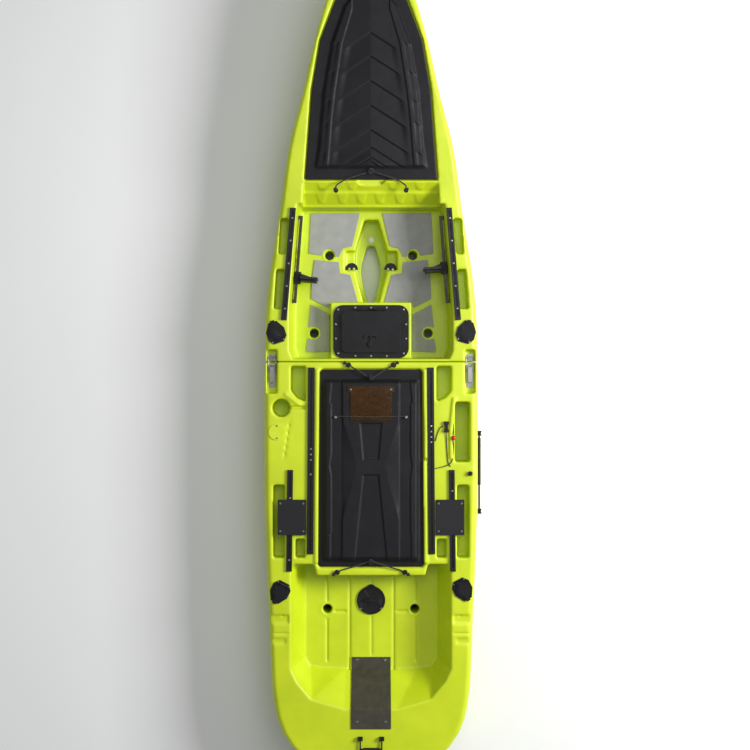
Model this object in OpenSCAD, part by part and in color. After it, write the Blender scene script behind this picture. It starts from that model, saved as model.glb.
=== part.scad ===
// Sit-on-top fishing kayak in two bolted-together sections.
// Millimetres. X points to starboard, Y to the bow, Z up from the flat keel.

/* [Hull] */
// Widest beam across the gunwales
beam = 902; // [890:1:914]
// Height of the flat middle deck above the keel
deck_z = 330; // [328:1:334]
// Rise of the foredeck from the flat deck to the bow
bow_rise = 72; // [60:1:84]
// Open joint between the two hull sections
seam_gap = 2; // [1:0.5:3]

/* [Wells] */
// Height of the foot well floor
foot_floor_z = 165; // [160:1:170]
// Height of the raised island that carries the centre hatch
island_z = 235; // [230:1:240]
// Height of the tank well floor
tank_floor_z = 190; // [185:1:196]
// Radius of the scupper holes
scupper_r = 20; // [17:0.5:21]
// Radius of the cup holder
cup_r = 38; // [34:1:40]
// Thickness of the foam deck pads
pad_t = 5; // [3:0.5:8]

/* [Hatches] */
// Lean of the rod holder tubes from upright
rod_tilt = 15; // [10:1:18]
// Inner radius of the rod holder tubes
rod_r = 22; // [20:0.5:23]
// Length of the rod holder tubes
rod_depth = 165; // [140:1:170]
// Radius of the round hatch lid
round_lid_r = 49; // [45:1:50]
// Thickness of the moulded covers
cover_t = 8; // [6:1:10]

/* [Fittings] */
// Width of the accessory tracks
track_w = 24; // [20:1:26]
// Height of the accessory tracks
track_h = 9; // [8:0.5:11]
// Diameter of the bungee cord
bungee_d = 6; // [5:0.5:7]
// Radius of the deck screws' heads
screw_r = 5; // [4:0.5:6]

/* [Hidden] */
$fn = 40;
hull_green = "#c8d81e";
black = "#222226";
pad_grey = "#9c9c9c";
steel = "#b9bcc0";
fit = 0.3;
seam_y = -18;
bow_y = 1871;
stern_y = -1740;
sheer_y = 660;
sheer_end_y = 1600;

// Half beam, as a share of the widest, along the hull.
width_along = [
    [stern_y, 0.28], [-1710, 0.50], [-1640, 0.74], [-1520, 0.88], [-1375, 0.93],
    [-1100, 0.955], [-850, 0.98], [-500, 1], [-150, 1], [150, 0.99], [330, 0.955],
    [600, 0.86], [870, 0.775], [1115, 0.635], [1320, 0.53], [1500, 0.41],
    [1660, 0.28], [1780, 0.16], [1845, 0.08], [bow_y, 0.02]
];
// Height of the keel line along the hull.
keel_along = [
    [stern_y, 120], [-1710, 84], [-1640, 48], [-1520, 18], [-1375, 4], [-1200, 0], [900, 0],
    [1115, 3], [1320, 10], [1500, 26], [1660, 64], [1780, 124], [1845, 200], [bow_y, 270]
];
// How far the section has turned from the flat middle to the sharp bow.
vee_along = [
    [stern_y, 0.5], [-1520, 0.15], [-1200, 0], [600, 0], [1115, 0.35], [1500, 0.8], [bow_y, 1]
];
// Half sections from the keel's flat to the deck's edge: share of the half beam, share of the depth.
middle_shape = [
    [0.12, 0], [0.30, 0.07], [0.50, 0.004], [0.74, 0.004], [0.90, 0.10], [0.97, 0.36],
    [1, 0.72], [1, 0.90], [0.985, 0.97], [0.955, 1]
];
bow_shape = [
    [0.06, 0], [0.15, 0.07], [0.28, 0.14], [0.44, 0.25], [0.62, 0.40], [0.80, 0.60],
    [0.94, 0.80], [1, 0.92], [0.985, 0.97], [0.94, 1]
];
bow_rings = [150, 330, 600, sheer_y, 870, 1115, 1320, 1500, sheer_end_y, 1660, 1780, 1845, bow_y];
stern_rings = [stern_y, -1710, -1640, -1520, -1375, -1200, -1100, -850, -500, -150];

function half_beam(y) = beam / 2 * lookup(y, width_along);
function deck_height(y) =
    deck_z + bow_rise * min(1, max(0, (y - sheer_y) / (sheer_end_y - sheer_y)));
function section(y) =
    let (v = lookup(y, vee_along), b = half_beam(y), low = lookup(y, keel_along), high = deck_height(y),
         half = [for (i = [0:len(middle_shape) - 1])
             let (p = middle_shape[i] * (1 - v) + bow_shape[i] * v)
             [p[0] * b, y, low + p[1] * (high - low)]])
    concat(half, [for (i = [len(half) - 1:-1:0]) [-half[i][0], y, half[i][2]]]);

// The cap over an outline, cut into triangles corner by corner, so that hollow outlines work too.
function turn(a, b, c) = (b[0] - a[0]) * (c[1] - a[1]) - (b[1] - a[1]) * (c[0] - a[0]);
function covers(a, b, c, p) = turn(a, b, p) >= 0 && turn(b, c, p) >= 0 && turn(c, a, p) >= 0;
function is_ear(pts, ids, k) =
    let (n = len(ids), a = ids[(k + n - 1) % n], b = ids[k], c = ids[(k + 1) % n])
    turn(pts[a], pts[b], pts[c]) > 0.001
        && len([for (i = ids) if (i != a && i != b && i != c && covers(pts[a], pts[b], pts[c], pts[i])) i]) == 0;
function ear(pts, ids) = [for (k = [0:len(ids) - 1]) if (is_ear(pts, ids, k)) k][0];
function triangles(pts, ids) = len(ids) < 3 ? [] :
    let (n = len(ids), k = ear(pts, ids))
    concat([[ids[(k + n - 1) % n], ids[k], ids[(k + 1) % n]]],
        triangles(pts, [for (i = [0:n - 1]) if (i != k) ids[i]]));
function cap_of(ring, flat) = len(flat) == 0 ? [[for (i = [0:len(ring) - 1]) i]] :
    triangles([for (p = ring) [p[flat[0]], p[flat[1]]]], [for (i = [0:len(ring) - 1]) i]);

// A closed skin through rings of equal length. Its caps are flat in the two directions named in flat;
// a round cord names none, and each of its caps stays one face.
module skin(rings, flat = []) {
    n = len(rings[0]);
    m = len(rings);
    sides = [for (j = [0:m - 2]) for (i = [0:n - 1]) each [
        [j * n + i, j * n + (i + 1) % n, (j + 1) * n + i],
        [(j + 1) * n + i, j * n + (i + 1) % n, (j + 1) * n + (i + 1) % n]]];
    first = [for (f = cap_of(rings[0], flat)) [for (i = [len(f) - 1:-1:0]) f[i]]];
    last = [for (f = cap_of(rings[m - 1], flat)) [for (i = f) (m - 1) * n + i]];
    polyhedron([for (r = rings) each r], concat(sides, first, last));
}

module loft(ys) {
    skin([for (y = ys) section(y)], [0, 2]);
}

// An outline moved outwards by d, for an anticlockwise outline.
function unit(v) = v / norm(v);
function outward(a, b) = let (e = unit(b - a)) [e[1], -e[0]];
function grown(pts, d) = [for (i = [0:len(pts) - 1])
    let (n = len(pts), a = outward(pts[(i + n - 1) % n], pts[i]),
         b = outward(pts[i], pts[(i + 1) % n]))
    pts[i] + d * (a + b) / (1 + a * b)];
// A half outline from stern to bow on the starboard side, closed with its mirror image.
function both_sides(half) =
    concat(half, [for (i = [len(half) - 1:-1:0]) if (half[i][0] > 0) [-half[i][0], half[i][1]]]);
function box_outline(x0, y0, x1, y1) = [[x0, y0], [x1, y0], [x1, y1], [x0, y1]];

// A recess whose outline is low at z0 and high at z1.
module recess(low, high, z0, z1) {
    skin([[for (p = high) [p[0], p[1], z1]], [for (p = low) [p[0], p[1], z0]]], [0, 1]);
}

module straight_recess(outline, z0, z1) {
    recess(outline, outline, z0, z1);
}

module both() {
    children();
    mirror([1, 0, 0]) children();
}

module side(s) {
    mirror([s < 0 ? 1 : 0, 0, 0]) children();
}

// Outlines of the wells, all anticlockwise, starboard half first where they are symmetric.
foot_high = both_sides([[330, -6], [345, 30], [345, 200], [312, 648]]);
foot_low = both_sides([[318, 0], [331, 40], [331, 200], [298, 636]]);
step_low = both_sides([[286, 640], [286, 650]]);
step_high = both_sides([[292, 640], [290, 697]]);
upper_step_low = both_sides([[284, 640], [284, 703]]);
upper_step_high = both_sides([[290, 640], [284, 738]]);
step_z = 240;
upper_step_z = 296;
island_w = 344;
island_y = 236;
drive_well = both_sides([[21, 228], [34, 241], [70, 378], [70, 464], [46, 544], [30, 598]]);
drive_alcove = both_sides([[113, 378], [113, 462]]);
drive_slot = both_sides([[15, 243], [28, 296], [42, 360], [42, 400], [36, 430], [16, 493]]);
drive_shelf_z = 80;
drive_alcove_z = 120;
hatch_tub = box_outline(-120, 12, 120, 202);
hatch_tub_z = 95;
side_pockets = [[[344, 586], [357, 435], [391, 435], [382, 586]],
    [[361, 372], [370, 204], [410, 204], [399, 372]]];
latch_recess = box_outline(397, -150, 437, 30);
latch_floor_z = 296;
tank_high = both_sides([[110, -1480], [250, -1440], [312, -1367], [338, -1312], [338, -882],
    [326, -868], [240, -868], [228, -915]]);
tank_low = both_sides([[110, -1335], [200, -1333], [262, -1325], [285, -1290], [285, -900],
    [272, -884], [236, -884], [222, -926]]);
trough = box_outline(-196, -862, 196, -66);
trough_z = 150;
cover_front = 214;
cover_rear = 224;
cover_outline = both_sides([[cover_rear - 12, -880], [cover_rear, -866], [cover_front, -62], [cover_front - 12, -50]]);
box_recess = [[275, -186], [312, -170], [338, -140], [338, -36], [275, -36]];
storage_pocket = box_outline(353, -440, 416, -186);
rear_pocket = box_outline(362, -842, 412, -535);
inner_pocket = box_outline(276, -842, 318, -762);
cup_at = [-378, -212];
plate_at = [-395, -313];
round_at = [0, -1042];
scuppers = [[180, 443, foot_floor_z], [246, 107, foot_floor_z], [188, -1080, tank_floor_z]];
bolt_rows = [[353, 377], [-1141, -1058]];

// The bow hatch lies on the sloping foredeck: its own frame starts at its rear edge.
bow_hatch_y = 748;
bow_slope = atan(bow_rise / (sheer_end_y - sheer_y));
hatch_half = [[277, 0], [267, 123], [248, 368], [212, 575], [150, 735], [100, 790], [60, 808]];
hatch_outline = both_sides(hatch_half);
hinge_local_y = 820;
hatch_gap = 6;
module on_foredeck() {
    translate([0, bow_hatch_y, deck_height(bow_hatch_y)]) rotate([bow_slope, 0, 0]) children();
}

hatch_tub_outline = both_sides([[260, 10], [248, 123], [230, 368], [196, 560], [130, 700]]);
module bow_hatch_well() {
    rim = both_sides([[277 + hatch_gap, -hatch_gap], [267 + hatch_gap, 123], [248 + hatch_gap, 368],
        [212 + hatch_gap, 577], [150 + hatch_gap, 740], [104, 800], [78, 838]]);
    on_foredeck() {
        straight_recess(rim, -16, 3);
        straight_recess(hatch_tub_outline, -190, 0);
    }
}

module scupper_cut(s) {
    translate([s[0], s[1], -1]) cylinder(r = scupper_r, h = s[2] + 30);
    translate([s[0], s[1], -1]) cylinder(r = scupper_r + 12, h = 27);
}

// A rod holder: where it sits, and which way its cap tab points on the deck.
rod_holders = [[-400, 105, 18], [400, 107, -16], [-384, -985, 153], [386, -974, -152]];
module at_rod_holder(i) {
    h = rod_holders[i];
    translate([h[0], h[1], deck_z]) rotate([0, 0, h[2]]) children();
}
module rod_tube(i, r, depth) {
    at_rod_holder(i) rotate([-rod_tilt, 0, 0]) translate([0, 0, -depth]) cylinder(r = r, h = depth + 12);
}

module bow_recesses() {
    difference() {
        recess(foot_low, foot_high, foot_floor_z, deck_z + 1);
        translate([-island_w / 2, -60, 0]) cube([island_w, 60 + island_y, island_z]);
    }
    recess(step_low, step_high, step_z, upper_step_z + 2);
    recess(upper_step_low, upper_step_high, upper_step_z, deck_z + 8);
    straight_recess(drive_well, drive_shelf_z, foot_floor_z + 2);
    straight_recess(drive_alcove, drive_alcove_z, foot_floor_z + 2);
    straight_recess(drive_slot, -10, drive_shelf_z + 2);
    straight_recess(hatch_tub, hatch_tub_z, island_z + 2);
    bow_hatch_well();
    both() {
        for (p = side_pockets) straight_recess(p, deck_z - 60, deck_z + 2);
        straight_recess(latch_recess, latch_floor_z, deck_z + 2);
        scupper_cut(scuppers[0]);
        scupper_cut(scuppers[1]);
    }
    for (i = [0, 1]) rod_tube(i, rod_r + 3.3, rod_depth + 6);
}

module stern_recesses() {
    straight_recess(grown(cover_outline, 4), deck_z - 14, deck_z + 2);
    straight_recess(trough, trough_z, deck_z);
    recess(tank_low, tank_high, tank_floor_z, deck_z + 1);
    both() {
        straight_recess(box_recess, deck_z - 70, deck_z + 2);
        straight_recess(latch_recess, latch_floor_z, deck_z + 2);
        straight_recess(rear_pocket, deck_z - 70, deck_z + 2);
        straight_recess(inner_pocket, deck_z - 70, deck_z + 2);
        scupper_cut(scuppers[2]);
        for (x = bolt_rows[0], y = bolt_rows[1]) translate([x, y, deck_z - 9]) cylinder(r = 3, h = 12);
    }
    straight_recess(storage_pocket, deck_z - 110, deck_z + 2);
    translate([cup_at[0], cup_at[1], deck_z - 90]) cylinder(r = cup_r, h = 100);
    translate([round_at[0], round_at[1], 100]) cylinder(r = round_lid_r + 1, h = 100);
    for (i = [2, 3]) rod_tube(i, rod_r + 3.3, rod_depth + 6);
}

module bow_hull() {
    color(hull_green) difference() {
        loft(concat([seam_y + seam_gap / 2], bow_rings));
        bow_recesses();
    }
}

module stern_hull() {
    color(hull_green) difference() {
        loft(concat(stern_rings, [seam_y - seam_gap / 2]));
        stern_recesses();
    }
}

module slab(outline, z, h) {
    translate([0, 0, z]) linear_extrude(h) polygon(outline);
}
function rounded(x0, y0, x1, y1, r, n = 5) = [
    for (c = [[x1 - r, y0 + r, -90], [x1 - r, y1 - r, 0], [x0 + r, y1 - r, 90], [x0 + r, y0 + r, 180]])
        for (k = [0:n]) [c[0] + r * cos(c[2] + 90 * k / n), c[1] + r * sin(c[2] + 90 * k / n)]];

// A round bar along X, Y or Z, centred on p.
module bar_x(p, r, w) {
    translate(p) rotate([0, 90, 0]) cylinder(r = r, h = w, center = true);
}
module bar_y(p, r, w) {
    translate(p) rotate([90, 0, 0]) cylinder(r = r, h = w, center = true);
}
module block(x0, y0, z0, x1, y1, z1) {
    translate([x0, y0, z0]) cube([x1 - x0, y1 - y0, z1 - z0]);
}

// A round cord along a route.
function heading(route, i) = unit(route[min(i + 1, len(route) - 1)] - route[max(i - 1, 0)]);
function ring_at(c, dir, r, n) = let (a = unit(cross(dir, [0, 0, 1])), b = cross(a, dir))
    [for (k = [0:n - 1]) c + r * (cos(360 * k / n) * a + sin(360 * k / n) * b)];
module cord(route, d, n = 8) {
    skin([for (i = [0:len(route) - 1]) ring_at(route[i], heading(route, i), d / 2, n)]);
}

// A domed screw head with a hexagon socket.
module screw(p, r = screw_r) {
    translate(p) difference() {
        cylinder(r1 = r, r2 = r * 0.7, h = 2.6);
        translate([0, 0, 1.2]) cylinder(r = r * 0.4, h = 2, $fn = 6);
    }
}

/* Bow hatch */

hatch_top_low = both_sides([[236, 50], [222, 130], [200, 368], [166, 560], [112, 712], [60, 776]]);
hatch_top_high = both_sides([[214, 64], [200, 140], [180, 368], [146, 550], [96, 694], [46, 750]]);
hatch_pin_r = 3;
hatch_axis_z = -4;
module bow_hatch_cover() {
    color(black) on_foredeck() {
        difference() {
            union() {
                slab(hatch_outline, -11, cover_t);
                recess(hatch_top_low, hatch_top_high, -6, 16);
                block(-50, 800, -10, 50, hinge_local_y, -4);
                bar_x([0, hinge_local_y, hatch_axis_z], 7, 100);
                translate([0, 30, -4]) cylinder(r = 8, h = 15);
                translate([0, 30, 11]) cylinder(r = 12, h = 5);
            }
            bar_x([0, hinge_local_y, hatch_axis_z], hatch_pin_r + 0.06, 110);
        }
    }
}

module bow_hatch_seal() {
    color("#3a3a3c") on_foredeck() difference() {
        slab(grown(hatch_tub_outline, 12), -16, 4.7);
        slab(grown(hatch_tub_outline, 3), -17, 7);
    }
}

module bow_hatch_hinge() {
    color(black) on_foredeck() {
        for (x = [-58, 58]) {
            block(x - 6, hinge_local_y - 7, -15.9, x + 6, hinge_local_y + 7, hatch_axis_z);
            bar_x([x, hinge_local_y, hatch_axis_z], 7, 12);
        }
        bar_x([0, hinge_local_y, hatch_axis_z], hatch_pin_r, 124);
    }
}

// Each bungee passes round its knob and under the heads of its lashing buttons.
function around(c, r, z, from, to, n = 4) =
    [for (k = [0:n]) let (t = from + (to - from) * k / n) [c[0] + r * cos(t), c[1] + r * sin(t), z]];
function flipped(route) = [for (i = [len(route) - 1:-1:0]) [-route[i][0], route[i][1], route[i][2]]];
function across(port, middle) = concat(port, middle, flipped(port));
hatch_bungee_route = across([[-147, 712, 345], [-144, 722, 345], [-120, 738, 346], [-88, 752, 348], [-44, 766, 348]],
    around([0, 778], 13, 344.6, 190, -10));
module bow_hatch_bungee() {
    color("#151515") cord(hatch_bungee_route, bungee_d);
}

button_spots = [[-147, 700, 333.6], [147, 700, 333.6], [-96, -33, deck_z], [96, -33, deck_z],
    [-143, -900, deck_z], [143, -900, deck_z], [416, -487, deck_z]];
module lashing_buttons() {
    color(black) for (p = button_spots) translate(p) {
        cylinder(r = 6, h = 8);
        translate([0, 0, 8]) cylinder(r = 10, h = 4);
    }
}

/* Centre hatch */

frame_z = island_z;
frame_t = 8;
lid_z = frame_z + frame_t + 3.5;
lid_t = 6.5;
lid_axis = [0, 206, frame_z + 17];
spindle_at = [0, 57];
spindle_r = 4;
hatch_screws = [[0, 214], [-67, 214], [67, 214], [-140, 206], [140, 206], [-150, 143], [150, 143],
    [-150, 82], [150, 82], [-140, 19], [140, 19], [-67, 8], [67, 8], [0, 8]];

module centre_hatch_frame() {
    color(black) {
        difference() {
            slab(rounded(-161, -2, 161, 225, 42), frame_z, frame_t);
            slab(rounded(-112, 28, 112, 186, 20), frame_z - 1, frame_t + 2);
        }
        difference() {
            slab(rounded(-117, 23, 117, 191, 24), frame_z + frame_t - 1, 4.2);
            slab(rounded(-112, 28, 112, 186, 20), frame_z, frame_t + 10);
        }
        for (x = [-56, -16, 16, 56]) {
            block(x - 4, lid_axis[1] - 5, frame_z + frame_t - 1, x + 4, lid_axis[1] + 5, lid_axis[2]);
            bar_x([x, lid_axis[1], lid_axis[2]], 5, 8);
        }
        bar_x(lid_axis, 2.5, 120);
    }
}

module centre_hatch_lid() {
    color("#2b2b2f") difference() {
        union() {
            slab(rounded(-126, 22, 126, 198, 24), lid_z, lid_t);
            for (x = [-36, 36]) {
                block(x - 15, 196, lid_z + 1, x + 15, lid_axis[1], lid_axis[2]);
                bar_x([x, lid_axis[1], lid_axis[2]], 5, 30);
            }
        }
        bar_x(lid_axis, 2.56, 120);
        translate([spindle_at[0], spindle_at[1], lid_z - 1]) cylinder(r = spindle_r + 0.06, h = 20);
    }
}

module centre_hatch_latch() {
    color("#1a1a1c") translate([spindle_at[0], spindle_at[1], 0]) {
        translate([0, 0, lid_z - 6]) cylinder(r = spindle_r, h = 18);
        translate([0, 0, lid_z - 6]) cylinder(r = 8, h = 5.7);
        translate([0, 0, lid_z + lid_t + fit]) {
            cylinder(r = 12, h = 8);
            translate([-4, 0, 0]) cube([8, 42, 7]);
            intersection() {
                difference() {
                    cylinder(r = 46, h = 7);
                    translate([0, 0, -1]) cylinder(r = 37, h = 9);
                }
                linear_extrude(7) polygon([[0, 0], [46, 48], [-46, 48]]);
            }
        }
    }
}

/* Deck pads */

front_pad = [[-269, 451], [-260, 626], [-48, 626], [-82, 483], [-120, 474], [-134, 447], [-138, 437],
    [-155, 437], [-158, 455], [-171, 469], [-188, 472], [-203, 464], [-211, 449], [-213, 443]];
middle_pad = [[-244, 424], [-139, 414], [-134, 367], [-90, 359], [-57, 241], [-176, 241], [-184, 216],
    [-260, 256], [-256, 338]];
rear_pad = [[-260, 231], [-179, 187], [-179, 27], [-277, 25], [-281, 36], [-273, 84], [-258, 80],
    [-238, 80], [-221, 94], [-218, 110], [-224, 126], [-240, 136], [-256, 135], [-271, 132]];

module deck_pad(outline, s) {
    color(pad_grey) mirror([s > 0 ? 1 : 0, 0, 0]) slab(outline, foot_floor_z, pad_t);
}

/* Tracks and rails */

// A slotted track lying on the deck from a to b.
module track(a, b, w, h, z = deck_z) {
    d = b - a;
    translate([a[0], a[1], z]) rotate([0, 0, atan2(d[1], d[0])]) difference() {
        block(0, -w / 2, 0, norm(d), w / 2, h);
        block(14, -3.5, h - 2.8, norm(d) - 14, 3.5, h + 1);
        block(14, -w / 4, h - 5.6, norm(d) - 14, w / 4, h - 2.7);
    }
}
module front_track(s) {
    color(black) side(s) track([366, 157], [327, 628], track_w, track_h);
}
module rear_track(s) {
    color(black) side(s) track([344, -898], [339, -472], track_w, track_h);
}
module seat_rails() {
    color(black) both() track([256, -825], [250, -42], track_w + 3, track_h);
}
module rear_plates() {
    color(black) both() {
        block(272, -745, deck_z + track_h + fit, 391, -596, deck_z + track_h + 5);
        block(272, -740, deck_z, 277, -601, deck_z + track_h + 2);
    }
}

/* Foot braces */

rail_low = [324, 233];
rail_high = [296, 603];
rail_z = 255;
pedal_y = [382, 340];
rail_turn = atan2(rail_high[1] - rail_low[1], rail_high[0] - rail_low[0]) - 90;
function rail_point(y) = rail_low + (rail_high - rail_low) * (y - rail_low[1]) / (rail_high[1] - rail_low[1]);

module foot_rail(s) {
    color("#8f9482") side(s) translate([rail_low[0], rail_low[1], rail_z]) rotate([0, 0, rail_turn]) {
        block(-6, 0, -12, 6, norm(rail_high - rail_low), 12);
        for (y = [0, norm(rail_high - rail_low) - 14]) block(5, y, -12, 11, y + 14, 12);
    }
}

// A pedal on its carriage, which wraps the rail.
module foot_pedal(s) {
    at = rail_point(s > 0 ? pedal_y[0] : pedal_y[1]);
    color(black) side(s) translate([at[0], at[1], rail_z]) rotate([0, 0, rail_turn]) {
        difference() {
            block(-17, -26, -17, 9.4, 26, 17);
            block(-6.35, -30, -12.35, 6.35, 30, 12.35);
        }
        block(-90, -5, -48, -16, 5, 56);
    }
}

/* Drive well fittings */

lock_axis = [84, 384, 161];
module drive_lock(s) {
    color("#151517") side(s) difference() {
        intersection() {
            translate([lock_axis[0], lock_axis[1], 158]) cylinder(r = 27, h = 6);
            block(50, 381, 150, 112, 420, 170);
        }
        for (x = [74, 94]) block(x - 4.5, 370, 150, x + 4.5, 390, 170);
        bar_x(lock_axis, 1.56, 80);
    }
}
module drive_lock_brackets() {
    color(steel) both() {
        for (x = [74, 94]) block(x - 3, 378.3, 148, x + 3, 387, 163);
        bar_x([84, lock_axis[1], lock_axis[2]], 1.5, 26);
    }
}

/* Rod holders */

mouth_wider = 1.4;
mouth_depth = 20;
cap_axis_y = -34;
cap_axis_z = 9.6;
flange = [[22, -46], [40, -24], [40, 10], [18, 46], [-18, 46], [-40, 10], [-40, -24], [-22, -46]];
module rod_holder(i) {
    color(black) difference() {
        union() {
            at_rod_holder(i) {
                slab(flange, 0, 5);
                for (x = [-13, 13]) {
                    block(x - 3, cap_axis_y - 4, 4, x + 3, cap_axis_y + 4, cap_axis_z);
                    bar_x([x, cap_axis_y, cap_axis_z], 4, 6);
                }
                bar_x([0, cap_axis_y, cap_axis_z], 2, 32);
            }
            intersection() {
                rod_tube(i, rod_r + 3, rod_depth);
                translate([-600, -1200, 0]) cube([1200, 1500, deck_z + 1]);
            }
        }
        rod_tube(i, rod_r, rod_depth - 5);
        rod_tube(i, rod_r + mouth_wider, mouth_depth);
    }
}
module rod_cap(i) {
    color("#1b1b1d") at_rod_holder(i) difference() {
        union() {
            translate([0, 0, 5.4]) cylinder(r = 28, h = 5);
            translate([0, 0, 10.3]) cylinder(r = 20, h = 2);
            block(-9, 20, 5.4, 9, 52, 10.4);
            block(-9, cap_axis_y, 7, 9, -20, 10.4);
            bar_x([0, cap_axis_y, cap_axis_z], 4, 18);
        }
        bar_x([0, cap_axis_y, cap_axis_z], 2.06, 30);
    }
}

/* Toggle latches over the seam */

latch_x = 417;
lever_axis = [latch_x, -38, latch_floor_z + 10];
bail_axis = [latch_x, -54, latch_floor_z + 10];
bail_front_y = 4;
module latch_plates() {
    color(steel) both() {
        block(latch_x - 13, -125, latch_floor_z, latch_x + 13, -28, latch_floor_z + 2);
        block(latch_x - 13, -14, latch_floor_z, latch_x + 13, 14, latch_floor_z + 2);
        block(latch_x - 9, -4, latch_floor_z + 1, latch_x + 9, 0, latch_floor_z + 17);
        for (x = [-11.3, 11.3])
            block(latch_x + x - 1.2, -44, latch_floor_z + 1, latch_x + x + 1.2, -32, latch_floor_z + 15);
        bar_x(lever_axis, 2, 24);
    }
}
module latch_lever(s) {
    color(steel) side(s) difference() {
        union() {
            block(latch_x - 9, -104, latch_floor_z + 16, latch_x + 9, -40, latch_floor_z + 19);
            block(latch_x - 9, -104, latch_floor_z + 12, latch_x + 9, -101, latch_floor_z + 18);
            for (x = [-7.5, 7.5]) {
                block(latch_x + x - 1.5, -66, latch_floor_z + 5, latch_x + x + 1.5, -38, latch_floor_z + 18);
                bar_x([latch_x + x, lever_axis[1], lever_axis[2]], 5, 3);
            }
        }
        bar_x(lever_axis, 2.06, 30);
        bar_x(bail_axis, 2.06, 30);
    }
}
module latch_bail(s) {
    color(steel) side(s) {
        for (x = [-1, 1]) {
            bar_x([latch_x + x * 11.5, bail_axis[1], bail_axis[2]], 2, 10);
            bar_y([latch_x + x * 15.5, (bail_axis[1] + bail_front_y) / 2, bail_axis[2]], 2,
                bail_front_y - bail_axis[1] + 3);
        }
        bar_x([latch_x, bail_front_y, bail_axis[2]], 2, 33);
    }
}

/* Centre cover */

cover_z = deck_z - 13.7;
cover_top_z = deck_z + 15;
cover_top_low = both_sides([[206, -842], [198, -110], [186, -98]]);
cover_top_high = both_sides([[184, -830], [178, -128], [170, -118]]);
module centre_cover() {
    color(black) {
        slab(cover_outline, cover_z, cover_t);
        recess(cover_top_low, cover_top_high, cover_z + 4, cover_top_z);
        for (y = [-80, -860]) translate([0, y, cover_z + cover_t - 1]) {
            cylinder(r = 7, h = 24);
            translate([0, 0, 24]) cylinder(r = 10, h = 4);
        }
    }
}
amber_outline = both_sides([[86, -265], [86, -147], [98, -143], [98, -122], [86, -120]]);
module amber_panel() {
    color([0.42, 0.26, 0.03, 0.8]) slab(amber_outline, cover_top_z, 3);
}
module cover_screws() {
    color(steel) {
        for (x = [-84, 84]) screw([x, -134, cover_top_z + 3]);
        for (x = [-148, 148]) screw([x, -250, cover_top_z], 7);
    }
}
front_lashing = across(concat(around([-96, -33], 10.6, 334.2, 90, 0), [[-80, -40, 337], [-52, -56, 343]]),
    around([0, -80], 11.6, 343.8, 200, 340));
rear_lashing = across(concat(around([-143, -900], 10.6, 334.2, -90, 0), [[-126, -893, 337], [-84, -880, 342]]),
    around([0, -860], 11.6, 343.8, 160, 20));
module cover_bungees() {
    color("#151515") {
        cord(front_lashing, bungee_d);
        cord(rear_lashing, bungee_d);
    }
}

/* Tank well fittings */

module at_round_hatch() {
    translate([round_at[0], round_at[1], tank_floor_z]) children();
}
module round_hatch_ring() {
    color("#1d1d1f") at_round_hatch() difference() {
        union() {
            cylinder(r = 61, h = 8);
            linear_extrude(8) polygon([[-30, 50], [30, 50], [6, 68], [-6, 68]]);
        }
        translate([0, 0, 2]) cylinder(r = round_lid_r + 0.4, h = 10);
        translate([0, 0, -1]) cylinder(r = round_lid_r - 5, h = 5);
    }
}
module round_hatch_lid() {
    color(black) at_round_hatch() {
        translate([0, 0, 2.3]) cylinder(r = round_lid_r, h = 5);
        block(-30, -5, 7, 30, 5, 14);
        translate([0, 0, 7]) cylinder(r = 10, h = 8);
    }
}
plate_t = 3;
plate_fold = [[-1287, tank_floor_z + fit], [-1332, tank_floor_z + fit], [-1478, deck_z + 1.5], [-1560, deck_z + 1.5]];
module motor_plate() {
    profile = concat(plate_fold, [for (i = [len(plate_fold) - 1:-1:0]) plate_fold[i] + [i == 2 ? 1 : 0, plate_t]]);
    color("#50483f") rotate([90, 0, 90]) translate([0, 0, -84]) linear_extrude(168) polygon(profile);
}

module inspection_plate() {
    color(hull_green) translate([plate_at[0], plate_at[1], deck_z]) cylinder(r = 34, h = 4);
}

/* Handles */

// A saddle with a pin along X, and the strap handle that swings on a pair of them.
saddle_pin_r = 3;
module saddle() {
    for (x = [-8, 8]) block(x - 2.5, -8, 0, x + 2.5, 8, 16);
    block(-10, -8, 0, 10, 8, 3);
    bar_x([0, 0, 9], saddle_pin_r, 20);
}
module swing_handle(span, reach, grip) {
    for (x = [-span / 2, span / 2]) {
        difference() {
            union() {
                bar_x([x, 0, 0], 5.7, 10);
                block(x - 3, 4, -3, x + 3, reach, 3);
            }
            bar_x([x, 0, 0], saddle_pin_r + 0.06, 20);
        }
    }
    bar_x([0, reach, 0], 4, span + 6);
    bar_x([grip[0], reach, 0], 7, grip[1]);
}
deck_handles = [[1690, 402, 0], [-1600, deck_z, 180]];
side_handle_at = [451.1, -485, 285];
side_span = 330;
module at_deck_handle(i) {
    h = deck_handles[i];
    translate([0, h[0], i == 0 ? deck_z + bow_rise : h[1]]) rotate([0, 0, h[2]]) children();
}
module at_side_handle() {
    translate(side_handle_at) rotate([0, 90, 0]) rotate([0, 0, 90]) mirror([0, 1, 0]) children();
}
module handle_saddles() {
    color(black) {
        for (i = [0, 1], x = [-45, 45]) at_deck_handle(i) translate([x, 0, 0.2]) saddle();
        for (x = [-side_span / 2, side_span / 2]) at_side_handle() translate([x, 0, 0.2]) saddle();
    }
}
module deck_handle(i) {
    color("#1b1b1d") at_deck_handle(i) translate([0, 0, 9.2]) swing_handle(90, 44, [0, 64]);
}
module side_handle() {
    color("#1b1b1d") at_side_handle() translate([0, 0, 9.2]) swing_handle(side_span, 36, [44, 200]);
}

/* Rudder */

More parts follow.
